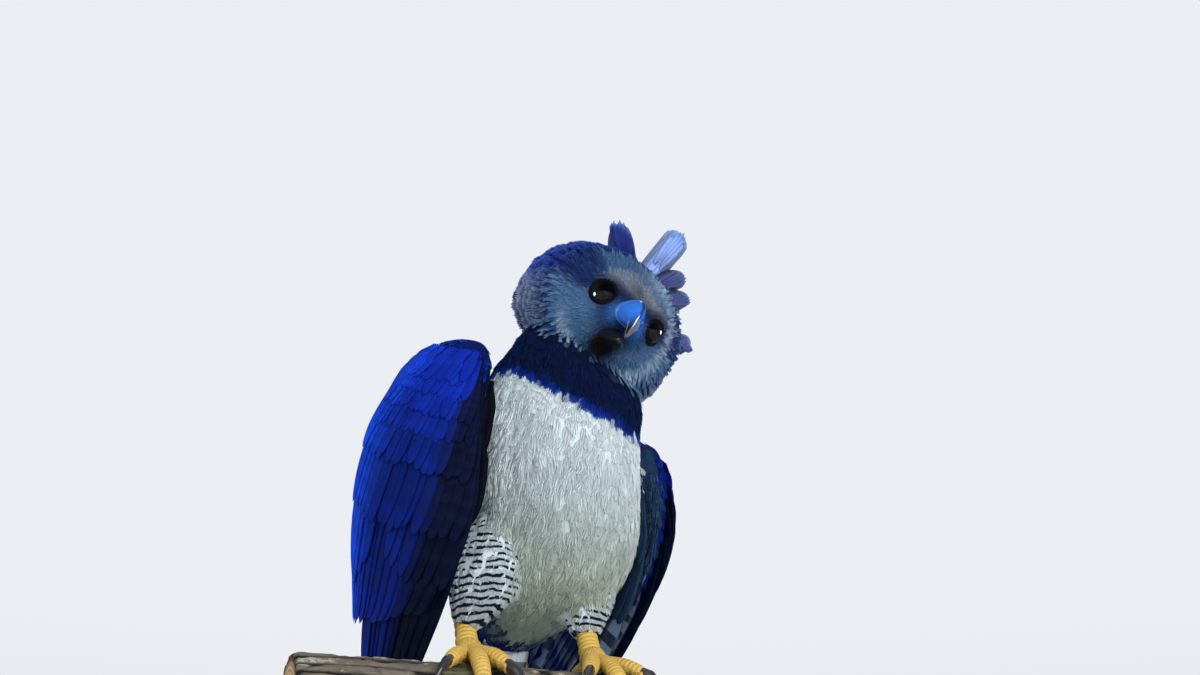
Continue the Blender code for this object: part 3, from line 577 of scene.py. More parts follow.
@dataclass
class Skin:
    """One closed skin over all the flesh, which knows how the coat lies on it."""

    guides: list[Guide]
    voxel: float = 3.4
    smoothing: int = 7
    body_lump: float = 4.2  # how far the flesh swells and sinks under the breast
    reach: float = 7.0  # how softly one part's lie turns into the next one's
    crowd: float = 5.5  # spots tried for each feather that has room

    def __post_init__(self) -> None:
        """Builds the surface and everything that is looked up on it."""
        whole = joined([guide.form for guide in self.guides])
        rough = Shape(whole.points, whole.faces).to_object("skin_rough", bpy.data.materials.new("rough"))
        remesh = rough.modifiers.new("Voxels", "REMESH")
        remesh.mode = "VOXEL"
        remesh.voxel_size = self.voxel * MM
        smooth = rough.modifiers.new("Smooth", "SMOOTH")
        smooth.factor = 0.5
        smooth.iterations = self.smoothing
        bpy.context.view_layer.update()
        graph = bpy.context.evaluated_depsgraph_get()
        mesh = bpy.data.meshes.new_from_object(rough.evaluated_get(graph))
        bpy.data.objects.remove(rough)
        self.points = read(mesh.vertices, "co", 3).reshape(-1, 3) / MM
        self.quads = read(mesh.loops, "vertex_index", 1, np.int32).reshape(-1, 4)
        self.normals = read(mesh.vertices, "normal", 3).reshape(-1, 3)
        self.places = self.unwrapped(mesh)
        bpy.data.meshes.remove(mesh)
        self.weights, self.lie = self.flows()
        lump = soft_noise(self.points, 40.0) * self.body_lump * self.weights[:, Part.TRUNK]
        self.points = self.points + self.normals * lump[:, None]
        self.tree = BVHTree.FromPolygons(self.points.tolist(), self.quads.tolist())

    def unwrapped(self, mesh: bpy.types.Mesh) -> Array:
        """Lays the skin out on the bake map.

        Args:
            mesh: The skin, in a mesh of its own.

        Returns:
            A place for each corner, as (face, corner, 2).
        """
        obj = linked("skin_map", mesh)
        bpy.context.view_layer.objects.active = obj
        obj.select_set(True)
        mesh.uv_layers.new(name="OFBake")
        bpy.ops.object.mode_set(mode="EDIT")
        bpy.ops.mesh.select_all(action="SELECT")
        bpy.ops.uv.smart_project(angle_limit=1.15, island_margin=0.004, scale_to_bounds=True)
        bpy.ops.object.mode_set(mode="OBJECT")
        places = read(mesh.uv_layers["OFBake"].uv, "vector", 2, np.float32)
        bpy.data.objects.remove(obj)
        return places.reshape(-1, 4, 2).astype(float)

    def flows(self) -> tuple[Array, Array]:
        """How much each part counts at each point, and how the coat lies there."""
        weights, lies = [], []
        for guide in self.guides:
            tree = tree_of(guide.form.points)
            far = np.array([tree.find(p)[2] for p in self.points])
            weights.append(1 / (far + self.reach) ** 4)
            near = np.linalg.norm(self.points[:, None] - guide.line[None], axis=-1)
            pull = np.exp(-(near - near.min(axis=1, keepdims=True)) / 9.0)
            lies.append(unit(pull @ guide.lie))
        weights = np.array(weights).T
        weights /= weights.sum(axis=1, keepdims=True)
        lie = np.einsum("np,pnc->nc", weights, np.array(lies))
        return weights, unit(lie - self.normals * np.sum(lie * self.normals, 1)[:, None])

    def at(self, faces: Array, shares: Array, values: Array) -> Array:
        """Values of the points mixed at places inside faces."""
        return np.einsum("nk,nk...->n...", shares, values[self.quads[faces]])

    def spot(self, faces: Array, shares: Array) -> Array:
        """Places on the bake map."""
        return np.einsum("nk,nkc->nc", shares, self.places[faces])

    def nearest(self, points: Array) -> tuple[Array, Array, Array]:
        """The nearest place on the skin.

        Args:
            points: Places in row millimetres.

        Returns:
            The place on the skin, the face there, and its corners' shares.
        """
        found = [self.tree.find_nearest(p) for p in points.tolist()]
        where = np.array([tuple(f[0]) for f in found])
        faces = np.array([f[2] for f in found])
        gap = np.linalg.norm(self.points[self.quads[faces]] - where[:, None], axis=-1)
        shares = 1 / (gap + 0.15) ** 2
        return where, faces, shares / shares.sum(axis=1, keepdims=True)

    def scattered(self, spacing: Callable[[Array, Array], Array], rng: Chance) -> tuple[Array, Array]:
        """Roots spread evenly, as close as spacing says.

        Args:
            spacing: Gives the distance in mm for points and their part weights.
            rng: The source of chance.

        Returns:
            The faces and the corner shares of the roots.
        """
        corners = self.points[self.quads]
        area = 0.5 * np.linalg.norm(
            np.cross(corners[:, 2] - corners[:, 0], corners[:, 3] - corners[:, 1]), axis=1
        )
        wanted = spacing(corners.mean(axis=1), self.weights[self.quads].mean(axis=1))
        chance = area / wanted**2
        count = int(self.crowd * chance[wanted < BARE].sum())
        chance = np.where(wanted < BARE, chance, 0)
        faces = rng.choice(len(area), count, p=chance / chance.sum())
        a, b = rng.random((2, count))
        shares = np.stack([(1 - a) * (1 - b), a * (1 - b), a * b, (1 - a) * b], 1)
        points = np.einsum("nk,nkc->nc", shares, corners[faces])
        tree = tree_of(points)
        free = np.ones(count, bool)
        kept = []
        for k in range(count):
            if free[k]:
                kept.append(k)
                for _, other, _ in tree.find_range(points[k], wanted[faces[k]]):
                    free[other] = False
        return faces[kept], shares[kept]


@dataclass(frozen=True)
class Palette:
    """The bird's colours, named by where they are, with painted light and shade among them."""

    breast: tuple = srgb(234, 250, 255)
    # Painted shade: the lower breast and belly, darkened from the breast's white.
    belly: tuple = srgb(190, 206, 186)
    flank: tuple = srgb(88, 112, 146)
    bar: tuple = srgb(22, 30, 50)
    collar: tuple = srgb(9, 22, 50)
    collar_hem: tuple = srgb(20, 48, 168)
    forehead: tuple = srgb(114, 124, 140)
    # Painted shade above the bill's root, between the eyes.
    bill_root_shade: tuple = srgb(66, 62, 80)
    brow: tuple = srgb(58, 92, 132)
    cheek: tuple = srgb(74, 108, 148)
    lore: tuple = srgb(26, 40, 72)
    ear: tuple = srgb(24, 42, 96)
    crown: tuple = srgb(20, 34, 96)
    ruff: tuple = srgb(44, 70, 122)
    # Painted rim light on the ruff's outer tips over the crown and the bird's right.
    ruff_rim_light: tuple = srgb(60, 92, 224)
    jowl: tuple = srgb(52, 92, 128)
    # Painted rim light: the pale rim of the facial disc and the jowl's outer tips.
    jowl_rim_light: tuple = srgb(172, 192, 214)
    # Painted shadow under the bill, on the chin's feathers.
    chin_shadow: tuple = srgb(20, 17, 21)
    slate: tuple = srgb(8, 29, 102)
    # Brighter slate for the tips of the wing's feathers, and painted light on the upper part of the wing.
    slate_mid: tuple = srgb(10, 39, 156)
    # Painted rim light: the bright blue along the wing's trailing edge.
    slate_rim_light: tuple = srgb(19, 76, 230)
    # Painted shade: the near-black shade along the wing's leading margin and inside the right wing near it.
    painted_wing_shade: tuple = srgb(8, 12, 22)
    lining: tuple = srgb(38, 60, 88)
    tail: tuple = srgb(20, 24, 36)
    tail_bar: tuple = srgb(108, 120, 140)
    tail_tip: tuple = srgb(140, 150, 166)
    tail_under: tuple = srgb(56, 64, 80)
    mantle: tuple = srgb(14, 26, 78)
    mantle_edge: tuple = srgb(26, 48, 122)
    underwing: tuple = srgb(120, 140, 170)
    crest_pale: tuple = srgb(126, 152, 214)
    crest_dark: tuple = srgb(20, 30, 108)
    crest_edge: tuple = srgb(84, 130, 226)
    crest_grey: tuple = srgb(66, 72, 108)
    # The horn's bright blue is painted sky reflection over the bill's own dark grey.
    bill: tuple = srgb(44, 104, 196)
    bill_dark: tuple = srgb(10, 13, 20)
    # The cere's blue is painted sky reflection over its own grey.
    cere: tuple = srgb(54, 104, 178)
    lid: tuple = srgb(11, 12, 16)


INK = Palette()


@dataclass
class Markings:
    """Which colours a place on the bird wears, the same for the skin and the coat, painted light and shade
    included.
    """

    hem_height: float = 199.0  # the collar's lower edge over the breast bone, up the body
    hem_slope: float = 0.30  # how much lower it is on the bird's left
    hem_back: float = 60.0  # how much higher it is at the back than the front
    disc: float = 72.0  # radius of the facial disc's rim

    def hem(self, own: Array) -> Array:
        """How far above the collar's lower edge places of the body's frame are."""
        turn = np.arctan2(own[:, 0] - 8, -own[:, 1])
        edge = self.hem_height - self.hem_slope * own[:, 0] - self.hem_back * ramp(1.2, 2.4, np.abs(turn))
        return own[:, 2] - edge

    def wing_tints(self, points: Array, facing: Array, side: str) -> tuple[Array, Array, Array]:
        """Tints on a wing's arm: slate outside; inside, the pale underwing on the right with painted shade near
        its leading edge, and the lining's tint on the left. None of it is barred.
        """
        sheet = WINGS[side]
        own = BODY.back(points)
        count = len(points)
        outside = ramp(-0.75, -0.45, np.sum(facing * sheet.outward, 1))
        if side == "right":
            outside = np.maximum(outside, ramp(-104, -92, own[:, 0]))
            # Painted shade: inside the right wing near its leading edge, lining holds painted shade rather than
            # a lining tint, and edge says how much of it a place takes.
            edge, lining = ramp(0.42, 0.30, sheet.across(own)), INK.painted_wing_shade
        else:
            edge, lining = np.ones(count), INK.lining
        base = blend(INK.underwing, lining, edge)
        tip = blend(INK.flank, lining, edge)
        base, tip = blend(base, INK.slate, outside), blend(tip, INK.slate_mid, outside)
        if side == "right":
            arm = ramp(-128, -106, own[:, 0]) * ramp(-40, 10, own[:, 1])
            base, tip = blend(base, INK.mantle, arm), blend(tip, INK.mantle_edge, arm)
        return base, tip, np.zeros(count)

    def tints(self, points: Array, facing: Array, weights: Array) -> tuple[Array, Array, Array]:
        """Colours at places on the skin.

        Args:
            points: The places, in row millimetres.
            facing: The skin's normals there.
            weights: How much each part counts there.

        Returns:
            The tint at a feather's base, the tint at its tip, and how much it is barred.
        """
        body, head = BODY.back(points), HEAD.back(points)
        turn = np.abs(np.arctan2(body[:, 0] - 10, -body[:, 1]))
        # Painted shade: the body darkens towards the bottom.
        low = ramp(150, -10, body[:, 2])
        base = blend(INK.breast, INK.belly, low)
        barred = 0.75 * ramp(0.95, 1.25, turn) * ramp(130, 30, body[:, 2])
        base = blend(base, INK.flank, barred)
        back = ramp(1.75, 2.05, turn)
        base = blend(base, INK.mantle, back)
        tip = blend(base * 1.06, INK.mantle_edge, back)
        barred = barred * (1 - back)
        soft = 1.5 + 26 * back
        collar = ramp(-soft, soft, self.hem(body))
        near_hem = np.exp(-((self.hem(body) - 3) / 4.5) ** 2) * (1 - back)
        base, tip = blend(base, INK.collar, collar), blend(tip, INK.collar, collar)
        base = blend(base, INK.collar_hem, 0.6 * collar * near_hem)
        tip = blend(tip, INK.collar_hem, collar * (0.05 + 0.95 * near_hem))
        thigh = np.clip(weights[:, Part.THIGH_LEFT] + weights[:, Part.THIGH_RIGHT], 0, 1)
        thigh = ramp(0.35, 0.65, thigh)
        base, tip = blend(base, INK.breast, thigh), blend(tip, INK.breast, thigh)
        barred = np.maximum(barred * (1 - collar), thigh)
        for side, part in (("left", Part.WING_LEFT), ("right", Part.WING_RIGHT)):
            on_wing = ramp(0.28, 0.46, weights[:, part])
            w_base, w_tip, w_barred = self.wing_tints(points, facing, side)
            base, tip = blend(base, w_base, on_wing), blend(tip, w_tip, on_wing)
            barred = barred * (1 - on_wing) + w_barred * on_wing
        on_head = ramp(0.40, 0.60, weights[:, Part.HEAD])
        h_base, h_tip = self.face(head)
        return blend(base, h_base, on_head), blend(tip, h_tip, on_head), barred * (1 - on_head)

    def face(self, own: Array) -> tuple[Array, Array]:
        """Tints on the head, from the bill out to the rim and over the crown, with painted shade above the
        bill's root and under the bill, painted reflection on the lores and painted rim light round the rim.
        """
        x, y, z = own.T
        radius = np.hypot(x, z)
        angle = np.degrees(np.arctan2(z, np.abs(x)))
        base = np.tile(INK.lore, (len(own), 1))
        base = blend(base, INK.forehead, ramp(12, 34, z))
        # Painted shade above the bill's root, between the eyes.
        base = blend(base, INK.bill_root_shade, 0.8 * np.exp(-((x / 10) ** 2) - ((z - 32) / 9) ** 2))
        base = blend(base, INK.cheek, ramp(26, 44, radius) * ramp(14, -8, z))
        base = blend(base, INK.brow, ramp(44, 58, radius) * ramp(10, 30, z))
        ear = ramp(46, 56, radius) * ramp(-6, 8, angle) * ramp(48, 34, angle)
        base = blend(base, INK.ear, 0.9 * ear)
        # Painted reflection: the cere's painted blue carried onto the lore feathers beside the bill.
        lore_reflection = np.exp(-(((np.abs(x) - 17) / 8) ** 2) - ((z + 10) / 12) ** 2) * ramp(-26, -36, y)
        base = blend(base, INK.cere, 0.9 * lore_reflection)
        jowl = ramp(42, 56, radius) * ramp(-20, -44, angle)
        base = blend(base, INK.jowl, jowl)
        # Painted rim light: a pale band along the facial disc's rim.
        disc = np.exp(-(((radius - self.disc + 8) / 6) ** 2)) * ramp(0, -10, y)
        base = blend(base, INK.jowl_rim_light, 0.5 * disc * (1 - ramp(-50, -20, z) * ramp(30, -20, x)))
        behind = ramp(self.disc - 4, self.disc + 4, radius + 0.6 * (y + 14)) * ramp(-14, -6, y)
        behind = np.maximum(behind, ramp(16, 30, y))
        low = np.maximum(ramp(14, -14, z), ramp(10, 40, x) * ramp(62, 34, z)) * ramp(44, 20, y)
        base = blend(base, INK.crown, behind * (1 - low))
        base = blend(base, INK.ruff, behind * low)
        # Painted shadow under the bill, on the chin's feathers.
        chin_shadow = np.exp(-(((x + 2) / 19) ** 2) - ((z + 40) / 16) ** 2) * ramp(6, -8, y)
        base = blend(base, INK.chin_shadow, np.clip(1.35 * chin_shadow, 0, 1))
        # Tips behind the rim take painted rim light.
        tip = base * 1.15 + (self.rim(own) - base * 1.15) * (0.35 * behind)[:, None]
        return base, tip

    def rim(self, own: Array) -> Array:
        """Tints of the outermost tips round the face, which are painted rim light: blue over the crown and the
        right, pale elsewhere.
        """
        x, y, z = own.T
        blue = ramp(-30, 10, z) * ramp(40, -10, x)
        made = blend(INK.jowl_rim_light, INK.ruff_rim_light, blue)
        return blend(made, INK.mantle_edge, ramp(30, 66, y))


MARKS = Markings()


@dataclass(frozen=True)
class Section:
    """A feather's cross-section: places across, from -1 to 1, and heights in half thicknesses."""

    across: tuple[float, ...]
    height: tuple[float, ...]


TUFT_SECTION = Section((-1, 0, 1, 0), (0, 1, 0, -1))
QUILL_SECTION = Section(
    (-1, -0.5, -0.07, 0.07, 0.5, 1, 0.5, 0, -0.5), (0, 0.8, 1.5, 1.5, 0.8, 0, -0.6, -1.0, -0.6)
)


@dataclass
class Feathers:
    """Many closed feathers in arrays: (feather, station, xyz) paths with a side and a lift at each station."""

    spine: Array
    side: Array
    lift: Array
    half: Array
    share: Array
    tone: Array
    base: Array
    tip: Array
    barred: Array
    place: Array
    thickness: float = 0.5
    camber: float = 0.06
    section: Section = TUFT_SECTION
    skew: float = 0.0  # how far the shaft lies off the middle, as a share of the half width
    under: tuple | None = None  # the tint and the bars of the lower face, where it has its own
    patch: tuple[float, float] = (PATCH, PATCH)

    def shape(self) -> Shape:
        """The mesh of all the feathers, each ending in one point."""
        count, stations = self.spine.shape[:2]
        across = np.array(self.section.across)
        sides = len(across)
        height = np.array(self.section.height) * self.thickness / 2
        rows = slice(0, stations - 1)
        half = self.half[:, rows, None, None]
        fine = np.clip(half / 2.0, 0.25, 1)
        rise = fine * height[:, None] - self.camber * half * (across**2)[:, None]
        reach = across + self.skew * (1 - across**2)
        grid = self.spine[:, rows, None] + self.side[:, rows, None] * half * reach[:, None]
        grid = grid + self.lift[:, rows, None] * rise
        each = (stations - 1) * sides + 1
        points = np.concatenate([grid.reshape(count, -1, 3), self.spine[:, -1:]], 1)
        a = np.arange(sides)
        b = (a + 1) % sides
        row = np.arange(stations - 2)[:, None] * sides
        quads = np.stack([row + a, row + b, row + b + sides, row + a + sides], -1).reshape(-1, 4)
        top = (stations - 2) * sides
        tips = np.stack([top + a, top + b, np.full(sides, each - 1)], 1)
        ends = np.stack([np.zeros(sides - 2, int), a[2:], a[1:-1]], 1)
        start = (np.arange(count) * each)[:, None, None]
        faces = [(start + f).reshape(-1, f.shape[1]) for f in (quads, np.vstack([tips, ends]))]
        share = np.broadcast_to(self.share[:, rows, None], (count, stations - 1, sides)).reshape(count, -1)
        share = np.concatenate([share, np.ones((count, 1))], 1)
        over = np.broadcast_to(across, (count, stations - 1, sides)).reshape(count, -1)
        over = np.concatenate([over, np.zeros((count, 1))], 1)
        tone = np.broadcast_to(self.tone[:, None], share.shape)
        values = {
            "quill": np.stack([share, over, tone], -1).reshape(-1, 3),
            "plume": np.repeat(self.base, each, axis=0),
            "fringe": np.repeat(self.tip, each, axis=0),
            "barred": np.repeat(self.barred, each),
        }
        if self.under is not None:
            below = np.tile(np.append(np.tile(height < 0, stations - 1), False), count)
            values["plume"][below] = self.under[0]
            values["fringe"][below] = self.under[0]
            values["barred"][below] = self.under[1]
        places = [self.placed(corner) for corner in self.corners(sides, stations)]
        return Shape(points.reshape(-1, 3), faces, values, places)

    def corners(self, sides: int, stations: int) -> tuple[Array, Array]:
        """Each face's corners on a feather's own patch, from 0 to 1 round it and along it."""
        a = np.arange(sides) / sides
        b = a + 1 / sides
        steps = np.arange(stations - 1)[:, None] / (stations - 1) + np.zeros(sides)
        low, high = steps[:-1], steps[1:]
        start, end = np.broadcast_to(a, low.shape), np.broadcast_to(b, low.shape)
        quads = np.stack([np.stack(p, -1) for p in ((start, low), (end, low), (end, high), (start, high))], -2)
        top = np.full(sides, steps[-1, 0])
        tips = np.stack([np.stack(p, -1) for p in ((a, top), (b, top), ((a + b) / 2, np.ones(sides)))], -2)
        ends = np.zeros((sides - 2, 3, 2))
        return quads.reshape(-1, 4, 2), np.vstack([tips, ends])

    def placed(self, corners: Array) -> Array:
        """Puts every feather's patch on the bake map."""
        spread = self.place[:, None, None] + (corners - 0.5) * self.patch
        return spread.reshape(-1, *corners.shape[1:])


def outline(share: Array, root: float, belly: float, tip: float, power: float = 2.2) -> Array:
    """A feather's half width along it, as a share of its widest.

    Args:
        share: Places along it, from 0 to 1.
        root: Width at the root.
        belly: Where it reaches its full width.
        tip: Where its tip begins to round off.
        power: How blunt the tip is.

    Returns:
        The width at each place.
    """
    swell = root + (1 - root) * ramp(0, belly, share)
    over = np.clip((share - tip) / (1 - tip), 0, 1)
    return swell * np.sqrt(1 - over**power * 0.999)


@dataclass
class Tufts:
    """How the small feathers of one stretch of coat grow."""

    length: Array
    width: Array
    stand: Array
    # Each lobe: sideways at the tip, share of the width, where it starts and ends, lift in mm, stations
    lobes: tuple[tuple, ...]
    tint_at: float  # how far along it a feather reads its tint
    stations: tuple[float, ...] = (0, 0.3, 0.6, 0.86, 1)
    thickness: float = 0.5


VANE_STEPS = (0, 0.35, 0.7, 0.9, 1)
LOCK_STEPS = (0, 0.45, 0.85, 1)
BODY_LOBES = (
    (0.0, 0.74, 0.0, 0.84, -0.3, VANE_STEPS),
    (-0.74, 0.25, 0.25, 0.90, 0.1, LOCK_STEPS),
    (-0.30, 0.25, 0.30, 1.0, 0.3, LOCK_STEPS),
    (0.22, 0.25, 0.30, 0.97, 0.2, LOCK_STEPS),
    (0.66, 0.25, 0.25, 0.88, 0.1, LOCK_STEPS),
)
FACE_LOBES = (
    (0.0, 0.62, 0.0, 0.86, -0.1, LOCK_STEPS),
    (-0.45, 0.30, 0.15, 1.0, 0.3, LOCK_STEPS),
    (0.40, 0.30, 0.15, 0.94, 0.2, LOCK_STEPS),
)


@dataclass
class Coat:
    """The small feathers that grow all over the skin."""

    skin: Skin
    rng: Chance
    sway: float = 0.22  # how much neighbouring feathers lean aside, as a tangent
    eye_room: float = 15.0  # how close to an eye's axis feathers may lie
    eye_bare: float = 16.2  # no feather grows closer than this to an eye's centre
    bill_bare: float = 17.0  # nor closer than this to the bill's root

    def spacing(self, points: Array, weights: Array) -> Array:
        """The distance between roots at places on the skin."""
        head = HEAD.back(points)
        radius = np.linalg.norm(head + (0, 30, 0), axis=1)
        face = 2.3 + 1.7 * ramp(30, 70, radius)
        wanted = 4.9 + 1.6 * ramp(1.7, 2.1, np.abs(np.arctan2(*self.around(points))))
        wing = weights[:, Part.WING_LEFT] + weights[:, Part.WING_RIGHT]
        wanted = wanted + 1.6 * ramp(0.4, 0.6, wing)
        on_head = ramp(0.35, 0.65, weights[:, Part.HEAD])
        wanted = wanted * (1 - on_head) + face * on_head
        eyes = np.minimum(
            *(np.linalg.norm(points - HEAD.out(mirrored(Eye.centre, s)), axis=1) for s in (-1, 1))
        )
        bill = np.linalg.norm((head - (0, -50, 2)) / (1, 1, 1.1), axis=1)
        return np.where((eyes < self.eye_bare) | (bill < self.bill_bare), BARE, wanted)

    def around(self, points: Array) -> tuple[Array, Array]:
        """Sideways and forward distances from the trunk's middle line."""
        own = BODY.back(points)
        return own[:, 0] - 8, -own[:, 1]

    def sizes(self, points: Array, weights: Array) -> tuple[Array, Array, Array]:
        """Length, width and stand of the feathers rooted at these places."""
        own, head = BODY.back(points), HEAD.back(points)
        back = ramp(1.7, 2.1, np.abs(np.arctan2(*self.around(points))))
        hem = MARKS.hem(own)
        length = 27 + 4 * back + 5 * ramp(
            60, -40, own[:, 2]
        ) - 4 * ramp(-20, 10, hem) - 10 * np.exp(-((hem / 18) ** 2))
        width = 9.5 + 6.5 * back
        stand = 2.2 + 1.2 * back
        radius = np.hypot(head[:, 0], head[:, 2])
        reach = np.linalg.norm(head + (0, 42, 0), axis=1)
        on_head = ramp(0.35, 0.65, weights[:, Part.HEAD])
        rim = np.exp(-(((radius - MARKS.disc) / 6) ** 2)) * ramp(6, -6, head[:, 1])
        jowl = ramp(44, 64, radius) * ramp(-20, -44, head[:, 2]) * ramp(10, 50, head[:, 0])
        face_length = 7.0 + 11 * ramp(22, 100, reach) + rim + 6 * jowl
        face_width = 3.0 + 3.2 * ramp(22, 100, reach) + 1.5 * jowl
        face_stand = 1.6 + 1.2 * ramp(22, 90, reach) + 1.8 * rim
        length = length * (1 - on_head) + face_length * on_head
        width = width * (1 - on_head) + face_width * on_head
        stand = stand * (1 - on_head) + face_stand * on_head
        near_wing = weights[:, Part.WING_LEFT] + weights[:, Part.WING_RIGHT]
        wing = ramp(0.4, 0.6, near_wing)
        length = length * (1 - 0.4 * ramp(0.12, 0.3, near_wing))
        thigh = ramp(0.4, 0.6, weights[:, Part.THIGH_LEFT] + weights[:, Part.THIGH_RIGHT])
        length = length * (1 - wing) + 20 * wing - 5 * thigh
        width = width * (1 - wing) + 11 * wing - 2 * thigh
        stand = stand * (1 - wing) + 2.2 * wing
        chance = self.rng.normal(0, 1, (3, len(points)))
        return length * (1 + 0.12 * chance[0]), width * (1 + 0.10 * chance[1]), stand * (1 + 0.15 * chance[2])

    def walk(self, faces: Array, shares: Array, length: Array, steps: Array) -> tuple[Array, Array]:
        """Follows the lie of the coat over the skin.

        Args:
            faces: The roots' faces on the skin.
            shares: The roots' corner shares.
            length: How far each feather goes.
            steps: Stations along it, from 0 to 1.

        Returns:
            Places on the skin and normals, as (feather, station, xyz).
        """
        where = self.skin.at(faces, shares, self.skin.points)
        lean = self.rng.normal(0, self.sway, len(faces)) + 0.35 * soft_noise(where, 26.0, 3.0)
        places, normals = [where], []
        for far in np.diff(steps):
            facing = unit(self.skin.at(faces, shares, self.skin.normals))
            lie = unit(self.skin.at(faces, shares, self.skin.lie))
            lie = unit(lie + np.cross(facing, lie) * lean[:, None])
            normals.append(facing)
            where, faces, shares = self.skin.nearest(self.clear_of_eyes(where + lie * (length * far)[:, None]))
            places.append(where)
        normals.append(unit(self.skin.at(faces, shares, self.skin.normals)))
        return np.stack(places, 1), np.stack(normals, 1)

    def clear_of_eyes(self, points: Array) -> Array:
        """Moves places that lie in front of an eye out past its lids."""
        for side in (-1, 1):
            eye = Eye(side)
            ahead = HEAD.turn(eye.axes()[0])
            off = points - HEAD.out(mirrored(eye.centre, side))
            deep = off @ ahead
            flat = off - np.outer(deep, ahead)
            far = np.linalg.norm(flat, axis=1)
            push = np.where((deep > -4) & (far < self.eye_room), self.eye_room - far, 0)
            points = points + unit(flat) * push[:, None]
        return points

    def grow(self, faces: Array, shares: Array, tufts: Tufts) -> list[Feathers]:
        """Lays a stretch of coat.

        Args:
            faces: The roots' faces on the skin.
            shares: The roots' corner shares.
            tufts: Sizes and form of its feathers.

        Returns:
            One batch of feathers for each lobe.
        """
        steps = np.array(tufts.stations)
        path, facing = self.walk(faces, shares, tufts.length, steps)
        weights = self.skin.at(faces, shares, self.skin.weights)
        shown = along_path(path, steps, np.full((len(faces), 1), tufts.tint_at))[:, 0]
        base, tip, barred = MARKS.tints(shown + self.rng.normal(0, 1.2, shown.shape), facing[:, 0], weights)
        place = self.skin.spot(faces, shares)
        tone = self.rng.random(len(faces))
        made = []
        for aside, wide, begin, end, lift, marks in tufts.lobes:
            chance = self.rng.normal(0, 1, (2, len(faces), 1))
            share = np.broadcast_to(np.array(marks), (len(faces), len(marks)))
            spot = np.clip(begin + (end - begin) * share * (1 + 0.06 * chance[0]), 0, 1)
            aside = aside + 0.12 * chance[1]
            spine, normal = along_path(path, steps, spot), unit(along_path(facing, steps, spot))
            way = unit(np.gradient(spine, axis=1))
            side = unit(np.cross(way, normal))
            shift = aside * tufts.width[:, None] * 0.5 * spot**0.7
            rise = -0.8 + (tufts.stand + lift)[:, None] * spot**1.15
            spine = spine + side * shift[..., None] + normal * rise[..., None]
            half = 0.5 * wide * tufts.width[:, None] * outline(share, 0.5, 0.45, 0.55)
            made.append(
                Feathers(spine, side, normal, half, spot, tone, base, tip, barred, place, tufts.thickness)
            )
        return made


def along_path(path: Array, steps: Array, spots: Array) -> Array:
    """Values between the stations of a path.

    Args:
        path: Values at the stations, as (feather, station, xyz).
        steps: Where the stations are, from 0 to 1.
        spots: Wanted places, as (feather, place).

    Returns:
        Values as (feather, place, xyz).
    """
    upper = np.clip(np.searchsorted(steps, spots, side="right"), 1, len(steps) - 1)
    t = ((spots - steps[upper - 1]) / (steps[upper] - steps[upper - 1]))[..., None]
    rows = np.arange(len(path))[:, None]
    return path[rows, upper - 1] * (1 - t) + path[rows, upper] * t


def in_pieces(batches: list[Feathers], name: str, finish: "Finish") -> None:
    """Writes a stretch of coat as pieces of at most PIECE_TRIANGLES, cut by height."""
    order = np.argsort(batches[0].spine[:, 0, 2])
    chunks = math.ceil(sum(b.shape().triangles() for b in batches) / PIECE_TRIANGLES)
    for k, rows in enumerate(np.array_split(order, chunks)):
        shapes = [picked(batch, rows).shape() for batch in batches]
        part = name if chunks == 1 else f"{name}_{k + 1}"
        dressed(joined(shapes), part, finish)


def picked(batch: Feathers, rows: Array) -> Feathers:
    """The same batch with only these feathers."""
    names = ("spine", "side", "lift", "half", "share", "tone", "base", "tip", "barred", "place")
    return replace(batch, **{key: getattr(batch, key)[rows] for key in names})


